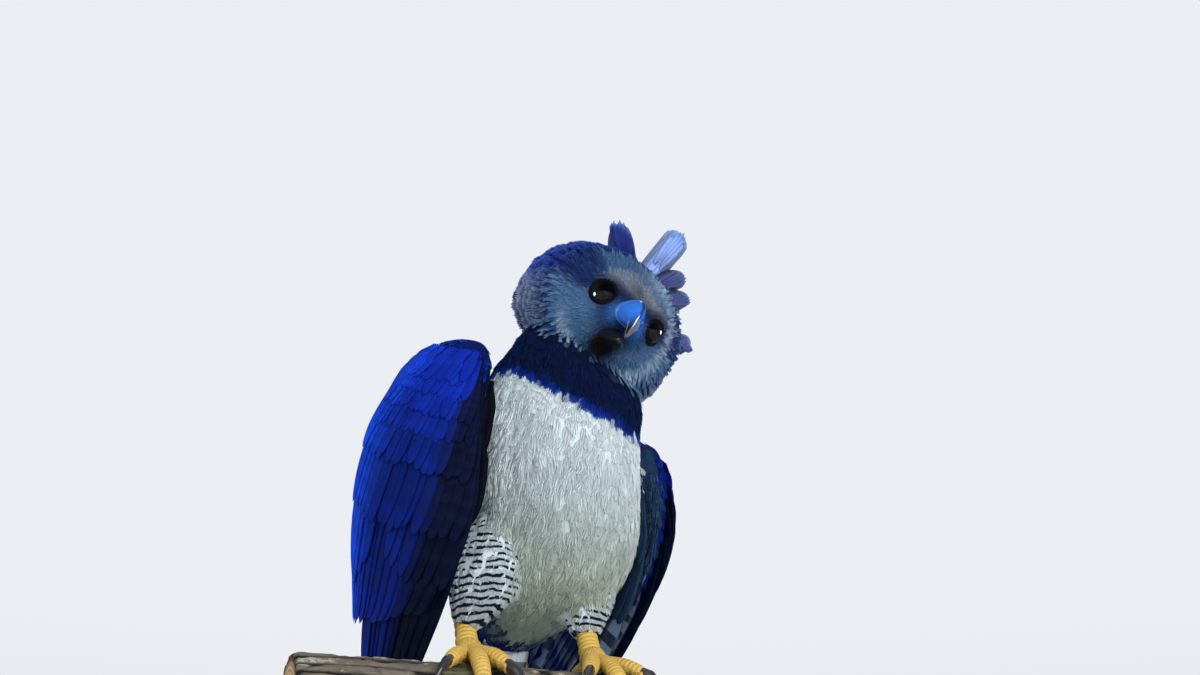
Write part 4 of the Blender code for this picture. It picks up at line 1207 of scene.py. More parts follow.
class Graph:
    """A material's nodes, each made and joined by one call."""

    def __init__(self, name: str) -> None:
        """Starts an empty material."""
        self.material = bpy.data.materials.new(name)
        self.material.use_nodes = True
        self.tree = self.material.node_tree
        self.tree.nodes.clear()

    def add(self, kind: str, out: int | str = 0, inputs: dict | None = None, **settings: object) -> Socket:
        """Makes a node.

        Args:
            kind: The node type's name after ShaderNode.
            out: The output wanted.
            inputs: Numbers, colours or sockets for its inputs, by name or place.
            settings: The node's own settings.

        Returns:
            The output socket.
        """
        node = self.tree.nodes.new("ShaderNode" + kind)
        for key, value in settings.items():
            setattr(node, key, value)
        for key, value in (inputs or {}).items():
            if isinstance(value, Socket):
                self.tree.links.new(value, node.inputs[key])
            else:
                node.inputs[key].default_value = value
        return node.outputs[out]

    def value(self, name: str, out: str = "Fac") -> Socket:
        """Reads a named value of the mesh."""
        return self.add("Attribute", out, attribute_name=name)

    def math(self, operation: str, first: object, second: object = 0.0) -> Socket:
        """Works out one number."""
        return self.add("Math", 0, {0: first, 1: second}, operation=operation)

    def step(self, value: object, low: float, high: float, floor: float = 0.0, top: float = 1.0) -> Socket:
        """A smooth step from floor at low to top at high."""
        spans = {"Value": value, "From Min": low, "From Max": high, "To Min": floor, "To Max": top}
        return self.add("MapRange", 0, spans, interpolation_type="SMOOTHSTEP")

    def times(self, first: object, second: object) -> Socket:
        """One number times another."""
        return self.math("MULTIPLY", first, second)

    def mix(self, share: object, first: object, second: object) -> Socket:
        """Mixes two colours."""
        return self.add("Mix", 2, {0: share, 6: first, 7: second}, data_type="RGBA")

    def noise(self, where: object, scale: float, detail: float = 3.0, rough: float = 0.55) -> Socket:
        """Cloudy noise about 0.5."""
        return self.add("TexNoise", 0, {"Vector": where, "Scale": scale, "Detail": detail, "Roughness": rough})

    def place(self, scale: tuple[float, float, float] = (1, 1, 1)) -> Socket:
        """The place on the object in metres, stretched."""
        where = self.add("TexCoord", "Object")
        return self.add("Mapping", 0, {"Vector": where, "Scale": scale})

    def bump(self, height: object, strength: float, distance: float) -> Socket:
        """A bumped normal."""
        return self.add("Bump", 0, {"Height": height, "Strength": strength, "Distance": distance})

    def surface(self, **inputs: object) -> Material:
        """Joins the surface's shader and returns the material. An underscore stands for a space."""
        wanted = {key.replace("_", " "): value for key, value in inputs.items()}
        shader = self.add("BsdfPrincipled", 0, wanted)
        output = self.tree.nodes.new("ShaderNodeOutputMaterial")
        self.tree.links.new(shader, output.inputs["Surface"])
        return self.material


def rgba(tint: Sequence[float], scale: float = 1.0) -> tuple[float, float, float, float]:
    """A tint as a colour socket takes it, made lighter or darker by a scale."""
    return (*(float(c) * scale for c in tint), 1.0)


def ink(red: float, green: float, blue: float) -> tuple[float, float, float, float]:
    """An sRGB colour, in steps of 255, as a colour socket takes it."""
    return rgba(srgb(red, green, blue))


@dataclass(frozen=True)
class Finish:
    """A finish of the model. Its material is built once, however many pieces wear it."""

    name: str

    @cache
    def material(self) -> Material:
        """The finish's material."""
        return self.nodes(Graph(self.name))

    def nodes(self, g: Graph) -> Material:
        """Builds the nodes. Each kind of finish has its own."""
        raise NotImplementedError


@dataclass(frozen=True)
class PlumeFinish(Finish):
    """Feathers: a tint that runs from base to tip, barbs, bars, and some chance from feather to feather."""

    bar_tint: tuple = INK.bar
    bars: float = 1.6
    level: float = 0.0  # height of one bar, for bars that run level round the body
    bar_width: tuple = (0.15, 0.5)
    roughness: float = 0.85
    variety: float = 0.16
    barbs: float = 0.22
    fringe_from: float = 0.45
    shaft: float = 0.0
    lines: tuple = (7.0, 2.2)  # how close the barbs are across and along a feather
    glow: float = 0.0  # how much light passes through the thin vanes

    def nodes(self, g: Graph) -> Material:
        """Builds the nodes."""
        quill = g.add("SeparateXYZ", 0, {0: g.value("quill", "Vector")}).node.outputs
        along, across, tone = quill[0], quill[1], quill[2]
        aside = g.math("ABSOLUTE", across)
        tint = g.mix(
            g.step(along, self.fringe_from, 1.0), g.value("plume", "Color"), g.value("fringe", "Color")
        )
        phase = g.math("ADD", g.times(along, self.bars * 2 * math.pi), 1.2)
        if self.level:
            wander = g.times(g.noise(g.place(), 45.0, 2.0), 0.012)
            height = g.math("ADD", g.add("SeparateXYZ", 2, {0: g.place()}), wander)
            phase = g.times(height, 2 * math.pi / self.level)
        wave = g.math("SINE", phase)
        bar = g.times(g.step(wave, *self.bar_width), g.value("barred"))
        tint = g.mix(bar, tint, rgba(self.bar_tint))
        slant = g.math("SUBTRACT", g.times(along, self.lines[1]), g.times(aside, 0.35 * self.lines[1]))
        spots = {0: g.times(across, self.lines[0]), 1: slant, 2: g.times(tone, 43.0)}
        barb = g.noise(g.add("CombineXYZ", 0, spots), 1.6, 2.0, 0.6)
        cloud = g.noise(g.place(), 28.0, 3.0)
        shade = g.step(barb, 0.2, 0.8, 1.0 - self.barbs, 1.0 + self.barbs / 2)
        shade = g.times(shade, g.step(tone, 0.0, 1.0, 1.0 - self.variety, 1.0 + self.variety / 2))
        shade = g.times(shade, g.step(cloud, 0.3, 0.7, 0.93, 1.07))
        if self.shaft:
            shade = g.times(shade, g.step(aside, 0.03, 0.10, 1.0 - self.shaft, 1.0))
        scaled = g.add("VectorMath", 0, {0: tint, "Scale": shade}, operation="SCALE")
        bump = g.bump(barb, 0.35, 0.0006)
        thin = {"Subsurface_Weight": self.glow, "Subsurface_Radius": (1, 1, 1), "Subsurface_Scale": 0.004}
        return g.surface(
            Base_Color=scaled, Roughness=self.roughness, Normal=bump, Specular_IOR_Level=0.03, **thin
        )


@dataclass(frozen=True)
class BillFinish(Finish):
    """Polished horn, with a duller cere at its root and a dark tip and ridge; the blue of the horn and the cere
    is painted sky reflection over their own dark grey.
    """

    cere: float
    dark: float = 0.0

    def nodes(self, g: Graph) -> Material:
        """Builds the nodes."""
        along, around = g.value("along"), g.value("around")
        ridge = g.step(g.math("ABSOLUTE", g.math("SUBTRACT", around, 0.25)), 0.02, 0.075, 1.0, 0.0)
        streak = g.noise(g.place((40, 40, 40)), 9.0, 3.0)
        # The horn's blue is painted sky reflection.
        horn = g.mix(streak, rgba(INK.bill, 0.8), rgba(INK.bill, 1.25))
        horn = g.mix(g.times(ridge, 0.75), horn, rgba(INK.bill_dark, 2.2))
        horn = g.mix(g.step(along, 0.55, 0.92), horn, rgba(INK.bill_dark))
        tint = g.mix(g.step(along, self.cere - 0.01, self.cere + 0.02), rgba(INK.cere), horn)
        tint = g.mix(self.dark, tint, rgba(INK.bill_dark))
        rough = g.step(along, self.cere - 0.02, self.cere + 0.04, 0.42, 0.2 + 0.3 * self.dark)
        gloss = {"Coat_Weight": 0.95 - 0.85 * self.dark, "Coat_IOR": 1.9, "Coat_Roughness": 0.08}
        gloss["Specular_IOR_Level"] = 0.3
        return g.surface(Base_Color=tint, Roughness=rough, Normal=g.bump(streak, 0.12, 0.0004), **gloss)


@dataclass(frozen=True)
class HornFinish(Finish):
    """Black polished claw horn, a little paler at its root, with fine lines along it."""

    def nodes(self, g: Graph) -> Material:
        """Builds the nodes."""
        lines = g.noise(
            g.add("CombineXYZ", 0, {0: g.times(g.value("around"), 22.0), 1: g.times(g.value("along"), 1.5)}),
            1.0, 3.0
        )
        tint = g.mix(g.value("along"), ink(52, 50, 54), ink(14, 14, 17))
        tint = g.mix(g.times(lines, 0.5), tint, ink(70, 68, 70))
        return g.surface(
            Base_Color=tint, Roughness=0.24, Normal=g.bump(lines, 0.25, 0.0003), Coat_Weight=0.4,
            Coat_Roughness=0.1
        )


@dataclass(frozen=True)
class EyeFinish(Finish):
    """A wet eye: black pupil, near-black brown iris with fine rays, and a dark rim."""

    def nodes(self, g: Graph) -> Material:
        """Builds the nodes."""
        away = g.value("away")
        rays = g.noise(
            g.add("CombineXYZ", 0, {0: g.times(g.value("around"), 60.0), 1: g.times(away, 0.08)}), 1.0, 3.0
        )
        iris = g.mix(rays, ink(6, 6, 8), ink(17, 14, 14))
        tint = g.mix(g.step(away, 17.0, 20.0), ink(4, 4, 6), iris)
        tint = g.mix(g.step(away, 36.0, 44.0), tint, ink(8, 9, 13))
        return g.surface(
            Base_Color=tint, Roughness=0.3, Coat_Weight=0.3, Coat_Roughness=0.03, Specular_IOR_Level=0.0
        )


@dataclass(frozen=True)
class SkinFinish(Finish):
    """Bare wrinkled skin."""

    tint: tuple

    def nodes(self, g: Graph) -> Material:
        """Builds the nodes."""
        folds = g.noise(g.place(), 900.0, 3.0)
        tint = g.mix(folds, rgba(self.tint, 0.7), rgba(self.tint, 1.25))
        return g.surface(
            Base_Color=tint, Roughness=0.7, Normal=g.bump(folds, 0.4, 0.0004), Specular_IOR_Level=0.04
        )


@dataclass(frozen=True)
class ScaleFinish(Finish):
    """Yellow scaly skin: broad scutes in front, small round scales elsewhere, and dark grooves."""

    def nodes(self, g: Graph) -> Material:
        """Builds the nodes."""
        cell = g.add(
            "TexVoronoi", "Distance", {"Vector": g.place(), "Scale": 420.0}, feature="DISTANCE_TO_EDGE"
        )
        gap = g.times(g.step(cell, 0.02, 0.14, 1.0, 0.0), g.step(g.value("top"), 0.2, 0.7, 1.0, 0.15))
        groove = g.math("MAXIMUM", g.value("groove"), gap)
        cloud = g.noise(g.place(), 90.0, 4.0)
        tint = g.mix(cloud, ink(188, 148, 58), ink(222, 188, 96))
        tint = g.mix(g.times(groove, 0.75), tint, ink(104, 76, 34))
        height = g.math("SUBTRACT", g.times(cloud, 0.3), gap)
        return g.surface(
            Base_Color=tint, Roughness=0.48, Normal=g.bump(height, 0.5, 0.0006), Specular_IOR_Level=0.4
        )


@dataclass(frozen=True)
class BarkFinish(Finish):
    """Weathered bark with dark fissures, pale lichen and some moss, and sawn ends with growth rings."""

    def nodes(self, g: Graph) -> Material:
        """Builds the nodes."""
        fine = g.noise(g.place((0.35, 1, 1)), 160.0, 6.0, 0.65)
        broad = g.noise(g.place(), 14.0, 5.0)
        tint = g.mix(fine, ink(46, 42, 38), ink(128, 118, 106))
        tint = g.mix(g.step(g.value("deep"), 0.25, 0.8), tint, ink(22, 19, 17))
        patches = g.noise(g.place(), 34.0, 6.0, 0.7)
        high = g.step(g.value("deep"), 0.2, 0.5, 1.0, 0.0)
        tint = g.mix(g.times(g.step(patches, 0.56, 0.62, 0.0, 0.75), high), tint, ink(160, 164, 148))
        moss = g.times(g.step(broad, 0.55, 0.68, 0.0, 0.7), g.step(fine, 0.35, 0.6))
        tint = g.mix(moss, tint, ink(92, 98, 52))
        wander = g.times(g.noise(g.place(), 24.0, 2.0), 0.006)
        ring = g.math("SINE", g.times(g.math("ADD", g.value("off"), wander), 1150.0))
        wood = g.mix(g.step(ring, -0.6, 0.9), ink(150, 122, 88), ink(186, 158, 118))
        wood = g.mix(g.step(g.value("off"), 0.070, 0.078), wood, ink(70, 54, 42))
        tint = g.mix(g.step(g.value("sawn"), 0.4, 0.6), tint, wood)
        return g.surface(
            Base_Color=tint, Roughness=0.9, Normal=g.bump(fine, 0.7, 0.0015), Specular_IOR_Level=0.25
        )


@dataclass(frozen=True)
class PaintFinish(Finish):
    """Satin paint with a faint orange-peel surface."""

    tint: tuple
    roughness: float = 0.45

    def nodes(self, g: Graph) -> Material:
        """Builds the nodes."""
        peel = g.noise(g.place(), 700.0, 2.0)
        tint = g.mix(g.noise(g.place(), 9.0, 3.0), rgba(self.tint, 0.94), rgba(self.tint, 1.06))
        return g.surface(Base_Color=tint, Roughness=self.roughness, Normal=g.bump(peel, 0.08, 0.0002))


@dataclass(frozen=True)
class SteelFinish(Finish):
    """Steel brushed round the rod."""

    def nodes(self, g: Graph) -> Material:
        """Builds the nodes."""
        brush = g.noise(g.place((1, 1, 60)), 60.0, 3.0)
        tint = g.mix(brush, ink(168, 170, 174), ink(205, 207, 210))
        return g.surface(
            Base_Color=tint, Metallic=1.0, Roughness=g.step(
                brush, 0.2, 0.8, 0.24, 0.38
            ), Normal=g.bump(brush, 0.1, 0.0002)
        )


def atlas(batches: list[Feathers]) -> list[Feathers]:
    """Gives every quill a strip of its own on one bake map.

    Args:
        batches: The quills of one piece.

    Returns:
        The same quills with their places set.
    """
    count = sum(len(b.tone) for b in batches)
    columns = math.ceil(math.sqrt(count * 3))
    rows = math.ceil(count / columns)
    k = np.arange(count)
    middle = np.stack([(k % columns + 0.5) / columns, (k // columns + 0.5) / rows], 1)
    cuts = np.cumsum([len(b.tone) for b in batches])[:-1]
    patch = (0.94 / columns, 0.96 / rows)
    return [replace(b, place=p, patch=patch) for b, p in zip(batches, np.split(middle, cuts))]


def quill_piece(
    batches: list[Feathers], name: str, finish: Finish, nodes: Sequence[str] = ()
) -> None:
    """Writes quills as one piece, each on a strip of its own of the bake map."""
    dressed(joined([b.shape() for b in atlas(batches)]), name, finish, nodes)


def quill_steps(stations: int) -> Array:
    """Stations along a quill, closer together at its tip."""
    return 1 - (1 - evenly(stations)) ** 1.5


@dataclass(frozen=True)
class Row:
    """One row of quills on a sheet, from its leading edge to its trailing one.

    heights are the distances off the sheet at the root, at 0.4 and at the tip. A row inside lies on the
    sheet's other face, and its heights count that way.
    """

    count: int
    root_s: tuple[float, float]
    root_l: tuple[float, float]
    tip_s: tuple[float, float]
    tip_l: tuple[float, ...]
    width: float
    heights: tuple[float, float, float]
    climb: float = 0.0
    form: tuple[float, float, float, float] = (0.40, 0.40, 0.62, 2.4)
    thickness: float = 0.6
    tilt: float = 0.06
    skew: float = 0.0
    inside: bool = False
    stations: int = 13

    def lay(self, sheet: Sheet, rng: Chance, tints: Callable) -> Feathers:
        """Lays the row.

        Args:
            sheet: What it lies on.
            rng: The source of chance.
            tints: Gives base, tip and bars for the quills' places across and along the sheet.

        Returns:
            The quills.
        """
        k = evenly(self.count)
        wave = rng.normal(0, 1, (4, self.count))
        share = quill_steps(self.stations)
        root_s = np.interp(k, (0, 1), self.root_s) + 0.004 * wave[0]
        root_l = np.interp(k, (0, 1), self.root_l)
        tip_s = np.interp(k, (0, 1), self.tip_s) + 0.007 * wave[1]
        tip_l = np.interp(k, evenly(len(self.tip_l)), self.tip_l) + 0.005 * wave[2]
        s = root_s[:, None] + (tip_s - root_s)[:, None] * share
        l = root_l[:, None] + (tip_l - root_l)[:, None] * share
        face = -1 if self.inside else 1
        lift = sheet.normal(s, l) * face
        rise = np.interp(share, (0, 0.4, 1), self.heights) + (self.climb * np.arange(self.count))[:, None]
        spine = sheet.point(s, l) + lift * (rise + 0.35 * wave[3][:, None])[..., None]
        way = unit(np.gradient(spine, axis=1))
        by_s, _ = sheet.slopes(s, l)
        side = unit(np.cross(way, lift))
        side = side * np.sign(np.sum(side * by_s, -1))[..., None]
        side, lift = unit(side - self.tilt * lift), unit(lift + self.tilt * side)
        half = 0.5 * self.width * (1 + 0.04 * wave[0])[:, None] * outline(share, *self.form)
        base, tip, barred = tints(tip_s, tip_l, self.inside)
        along = np.broadcast_to(share, half.shape)
        tone = rng.random(self.count)
        kept = (self.thickness, 0.03, QUILL_SECTION, self.skew)
        return Feathers(
            spine, side, lift, half, along, tone, base, tip, barred, np.zeros((self.count, 2)), *kept
        )


FLIGHT = (0.30, 0.30, 0.80, 2.6)
MARGINAL = (0.5, 0.5, 0.45, 2.2)


@dataclass
class Wing:
    """A folded wing's quills over its feathered arm."""

    side: str
    rng: Chance
    rows: tuple[Row, ...] = (
        Row(
            10, (0.10, 0.60), (0.36, 0.34), (0.03, 0.58), (0.90, 0.98, 1.0, 0.96, 0.90), 30, (-13, -13, -13),
            0.45, FLIGHT, skew=-0.3
        ),
        Row(
            13, (0.12, 0.92), (0.30, 0.30), (0.12, 0.92), (0.67, 0.73, 0.78, 0.80), 34, (-5, -4, -5), 0.1,
            FLIGHT, skew=-0.2
        ),
        Row(5, (0.66, 0.95), (0.22, 0.22), (0.68, 0.94), (0.66, 0.72, 0.70), 36, (-1, 0, -1), form=FLIGHT),
        Row(9, (0.03, 0.44), (0.24, 0.24), (0.02, 0.44), (0.60, 0.62, 0.60), 22, (0, 0, -2)),
        Row(17, (0.04, 0.94), (0.20, 0.20), (0.05, 0.93), (0.49, 0.53, 0.56, 0.56), 25, (4, 4, 3)),
        Row(18, (0.04, 0.94), (0.12, 0.14), (0.05, 0.93), (0.36, 0.39, 0.42), 24, (9, 8.5, 7)),
        Row(20, (0.05, 0.95), (0.10, 0.12), (0.05, 0.94), (0.28, 0.31, 0.34), 20, (10, 11.0, 9), form=MARGINAL),
        Row(
            19, (0.07, 0.94), (0.07, 0.085), (0.07, 0.93), (0.225, 0.25, 0.275), 19, (10, 12.5, 11.5),
            form=MARGINAL
        ),
        Row(
            18, (0.12, 0.91), (0.04, 0.05), (0.12, 0.91), (0.175, 0.195, 0.215), 18, (10, 13.5, 13),
            form=MARGINAL
        ),
        Row(
            16, (0.18, 0.86), (0.01, 0.02), (0.18, 0.86), (0.13, 0.145, 0.16), 18, (9, 14, 14.5),
            form=MARGINAL
        ),
        Row(4, (0.03, 0.12), (0.10, 0.13), (-0.01, 0.08), (0.33, 0.31, 0.29), 14, (4, 5, 4), 0.8),
        Row(14, (0.06, 0.92), (0.20, 0.20), (0.06, 0.90), (0.46, 0.50, 0.54), 26, (22, 20, 15), inside=True),
        Row(14, (0.06, 0.92), (0.06, 0.08), (0.06, 0.90), (0.29, 0.33, 0.35), 25, (24, 26, 22), inside=True),
    )
    # How far the painted shade along the leading margin reaches across the wing, at places along it
    margin: tuple = ((0.12, 0.22, 0.40, 1.0), (0.02, 0.19, 0.26, 0.34))

    def tints(self, s: Array, l: Array, inside: bool) -> tuple[Array, Array, Array]:
        """Tints for quills whose tips are at these places of the wing, with painted shade along the leading
        margin and inside the right wing near it, painted light on the upper part and painted rim light along
        the trailing edge.
        """
        count = len(s)
        if inside:
            # Painted shade: inside the right wing, lining holds painted shade near the leading edge.
            dark, lining = (
                ramp(0.42, 0.28, s), INK.painted_wing_shade
            ) if self.side == "right" else (np.ones(count), INK.lining)
            base = blend(INK.underwing, lining, dark)
            return base, blend(INK.flank, lining, dark), 0.85 * (1 - dark)
        # Painted shade along the leading margin: edge is how far it reaches, and dark is how much of it a quill
        # takes.
        edge = np.interp(l, *self.margin) * (1.0 if self.side == "right" else 0.6)
        dark = ramp(edge + 0.05, edge - 0.09, s)
        # Painted rim light: quills towards the trailing edge are painted brighter, most on the right wing.
        light = ramp(0.58, 1.0, s) * (1.0 if self.side == "right" else 0.25)
        # Painted light: quills on the upper part of the wing are painted brighter.
        high = ramp(0.45, 0.14, l)
        base = blend(INK.slate, INK.slate_mid, 0.9 * high)
        base = blend(base, INK.slate_rim_light, 0.7 * light)
        base = blend(base, INK.painted_wing_shade, 0.92 * dark)
        tip = blend(INK.slate, INK.slate_mid, 0.4 + 0.6 * high)
        tip = blend(tip, INK.slate_rim_light, light)
        return base, blend(tip, INK.painted_wing_shade, 0.92 * dark), np.full(count, 0.2)

    def build(self) -> None:
        """Makes the wing's quills, with pale barred undersides on the flight feathers."""
        sheet = WINGS[self.side]
        batches = [row.lay(sheet, self.rng, self.tints) for row in self.rows]
        batches = [replace(b, under=(INK.underwing, 0.9)) if k < 2 else b for k, b in enumerate(batches)]
        finish = PlumeFinish(
            "slate_quills", bars=7.5, bar_width=(
                0.1, 0.45
            ), variety=0.16, barbs=0.18, fringe_from=0.72, shaft=0.2, lines=(1.5, 26.0), roughness=0.6
        )
        quill_piece(batches, f"quills_wing_{self.side}", finish, (f"wing_{self.side}",))


@dataclass
class TailFan:
    """Twelve long barred tail feathers and the coverts over and under their roots."""

    rng: Chance
    quill: float = 46.0
    step: float = 3.0
    covert_rows: tuple[Row, ...] = (
        Row(9, (0.06, 0.94), (0.03, 0.03), (0.0, 1.0), (0.32, 0.36, 0.32), 27, (5, 8, 5)),
        Row(8, (0.12, 0.88), (-0.04, -0.04), (0.08, 0.92), (0.20, 0.24, 0.20), 27, (6, 11, 9)),
        Row(9, (0.06, 0.94), (0.02, 0.02), (0.02, 0.98), (0.36, 0.42, 0.36), 27, (19, 19, 16), inside=True),
        Row(8, (0.12, 0.88), (-0.05, -0.05), (0.10, 0.90), (0.22, 0.26, 0.22), 27, (18, 22, 20), inside=True),
    )

    def half_fan(self, side: int, top: float) -> Row:
        """The six long feathers on one side, each under the next one in."""
        root, tip = (0.5 + side * 0.06, 0.5 + side * 0.31), (0.5 + side * 0.05, 0.5 + side * 0.46)
        heights = (top, top, top)
        return Row(
            6, root, (0.13, 0.13), tip, (1.0, 0.97), self.quill, heights, -self.step, FLIGHT, 1.0, 0.0,
            stations=16
        )

    def long_tints(self, s: Array, l: Array, inside: bool) -> tuple[Array, Array, Array]:
        """Dark feathers with pale bars and pale tips."""
        count = len(s)
        return np.tile(INK.tail, (count, 1)), np.tile(INK.tail_tip, (count, 1)), np.ones(count)

    def covert_tints(self, s: Array, l: Array, inside: bool) -> tuple[Array, Array, Array]:
        """Dark coverts above and white barred ones beneath."""
        count = len(s)
        base = np.tile(INK.breast if inside else INK.mantle, (count, 1))
        tip = np.tile(INK.breast if inside else INK.mantle_edge, (count, 1))
        return base, tip, np.full(count, 0.8 if inside else 0.0)

    def build(self) -> None:
        """Makes the long feathers and the coverts."""
        fans = [self.half_fan(side, top) for side, top in ((-1, 2.0), (1, 0.5))]
        batches = [row.lay(TAIL_SHEET, self.rng, self.long_tints) for row in fans]
        batches = [replace(b, under=(INK.tail_under, 1.0)) for b in batches]
        finish = PlumeFinish(
            "tail_quills", bar_tint=INK.tail_bar, bars=3.6, bar_width=(0.45, 0.62), variety=0.1,
            fringe_from=0.955, shaft=0.4, lines=(1.5, 60.0), roughness=0.6,
        )
        quill_piece(batches, "quills_tail", finish, ("tail",))
        batches = [row.lay(TAIL_SHEET, self.rng, self.covert_tints) for row in self.covert_rows]
        finish = PlumeFinish(
            "tail_coverts", bars=5.0, bar_width=(0.3, 0.6), fringe_from=0.7, shaft=0.2, lines=(1.5, 26.0)
        )
        quill_piece(batches, "coverts_tail", finish)


@dataclass
class Ruff:
    """The feathers that stand out behind the face's rim, tier behind tier, gathered in soft lumps."""

    rng: Chance
    rim: tuple[float, float, float] = (91.0, 77.0, 70.0)  # half width, up and down
    # Each tier: count, root as a share of the rim, distance in front, stand, tip's distance in front, width
    tiers: tuple = (
        (220, 0.88, -1, 0, -18, 6.5),
        (220, 0.92, -8, 3, -28, 7.5),
        (200, 0.92, -16, 5, -40, 9),
        (180, 0.89, -26, 4, -52, 10),
        (160, 0.83, -36, 0, -64, 11),
        (140, 0.75, -46, -9, -76, 11.5),
        (110, 0.61, -57, -23, -86, 12),
        (80, 0.45, -67, -41, -94, 12),
    )
    lumps: int = 14
    lump_rise: float = 0.6
    gather: float = 0.05  # how far tips lean to the middle of their lump
    # How much further the ruff stands out at angles round it, up from the bird's left; the jowl hangs longest
    swell: tuple = (
        (-180, -150, -119, -90, -70, -52, -33, 0, 37, 70, 135, 180),
        (4, 7, -3, -3, 0, 22, 14, 1, -3, 2, 7, 4),
    )

    def at(self, angle: Array, share: Array | float) -> Array:
        """Places on the rim at angles round it."""
        wide, up, down = self.rim
        height = np.where(np.sin(angle) > 0, up, down)
        return np.stack(
            [wide * np.cos(angle), 0 * angle, height * np.sin(angle)], -1
        ) * np.reshape(share, (-1, 1))

    def tier(self, number: int) -> list[Feathers]:
        """Lays one tier of the ruff."""
        count, share, front, stand, back, width = self.tiers[number]
        chance = self.rng.normal(0, 1, (6, count))
        loose = 1 + 0.7 * max(number - 2, 0)
        angle = 2 * math.pi * (np.arange(count) + 0.35 * chance[0]) / count
        pitch = 2 * math.pi / self.lumps
        phase = (angle + 0.5 * pitch * number) / pitch
        off = phase - np.round(phase)
        lean = angle - off * pitch * self.gather
        out = unit(self.at(angle, 1.0))
        degrees = (np.degrees(angle) + 180) % 360 - 180
        rise = stand + np.interp(
            degrees, *self.swell
        ) + self.lump_rise * np.cos(2 * math.pi * off) + 0.5 * loose * chance[1]
        root = self.at(
            angle, share * (1 + 0.03 * loose * chance[2])
        ) + np.outer(chance[3] * 2.0 * loose - front, (0, 1, 0))
        tip = self.at(lean, 1.0) + out * rise[:, None] + np.outer(
            np.clip(chance[4], -2, 1) * 3.0 - back, (0, 1, 0)
        )
        side = np.cross(out, (0, 1, 0)) + 0.06 * chance[5][:, None] * out
        bend = out * 2.5
        base, edge = MARKS.face(root)
        # The ruff's tips take painted rim light, the outer tiers more.
        share, outer = min(0.25 + 0.08 * number, 0.6), MARKS.rim(tip)
        base, edge = base + (outer - base) * 0.5 * share, edge + (outer - edge) * share
        sizes = width * (1 + 0.10 * chance[2])
        return free_quills(
            HEAD, root, tip, side, sizes, bend, (0.55, 0.45, 0.55, 2.0), (base, edge), self.rng, RUFF_LOBES,
            0.6
        )

    def build(self) -> None:
        """Makes all the tiers."""
        batches = [batch for k in range(len(self.tiers)) for batch in self.tier(k)]
        batches = [replace(b, camber=0.06) for b in batches]
        finish = PlumeFinish(
            "ruff_feathers", variety=0.10, barbs=0.3, fringe_from=0.66, lines=(5.0, 3.0), glow=0.5
        )
        quill_piece(batches, "ruff", finish)


CREST_LOBES = (
    (0.0, 1.0, 0.0, 0.98, 0.0, quill_steps(14)),
    (-0.60, 0.30, 0.45, 0.91, 0.3, LOCK_STEPS),
    (-0.30, 0.26, 0.50, 0.98, 0.5, LOCK_STEPS),
    (0.02, 0.26, 0.50, 1.0, 0.6, LOCK_STEPS),
    (0.32, 0.26, 0.50, 0.97, 0.5, LOCK_STEPS),
    (0.60, 0.30, 0.45, 0.90, 0.3, LOCK_STEPS),
)
RUFF_LOBES = (
    (0.0, 0.82, 0.0, 0.93, 0.0, VANE_STEPS),
    (-0.66, 0.26, 0.30, 0.94, 0.3, LOCK_STEPS),
    (-0.24, 0.26, 0.35, 1.0, 0.5, LOCK_STEPS),
    (0.22, 0.26, 0.35, 0.99, 0.5, LOCK_STEPS),
    (0.64, 0.26, 0.30, 0.93, 0.3, LOCK_STEPS),
)


def free_quills(
    pose: Pose, root: Array, tip: Array, side: Array, width: Array, bend: Array, form: tuple, tints: tuple,
    rng: Chance, lobes: Sequence, ragged: float = 1.0,
) -> list[Feathers]:
    """Quills from roots to tips, each bowed by its bend at its middle.

    Args:
        pose: The frame that all the places are in.
        root: Where they grow.
        tip: Where they end.
        side: Which way they are wide.
        width: How wide they are.
        bend: How far their middle is moved.
        form: Their outline.
        tints: Their tints at the base and at the tip.
        rng: The source of chance.
        lobes: The parts that each one is made of.
        ragged: How much chance there is in the lobes.

    Returns:
        One batch for each lobe.
    """
    count = len(root)
    tone = rng.random(count)
    side = np.broadcast_to(side, root.shape)
    made = []
    for aside, wide, begin, end, lift, marks in lobes:
        share = np.broadcast_to(np.array(marks), (count, len(marks)))
        chance = rng.normal(0, ragged, (2, count, 1))
        spot = np.clip(begin + (end - begin) * share * (1 + 0.05 * chance[0]), 0, 1)[..., None]
        spine = root[:, None] + spot * (tip - root)[:, None]
        spine = spine + 4 * spot * (1 - spot) * np.broadcast_to(bend, root.shape)[:, None]
        shift = (aside + 0.1 * chance[1]) * 0.5 * width[:, None] * spot[..., 0] ** 0.7
        spine = pose.out(spine + side[:, None] * shift[..., None])
        way = unit(np.gradient(spine, axis=1))
        across = pose.turn(side)[:, None]
        across = unit(across - way * np.sum(across * way, -1)[..., None])
        up = np.cross(way, across)
        half = 0.5 * wide * width[:, None] * outline(share, *form)
        kept = (np.zeros(count), np.zeros((count, 2)), 0.6, 0.10)
        made.append(Feathers(spine + up * lift, across, up, half, spot[..., 0], tone, *tints, *kept))
    return made


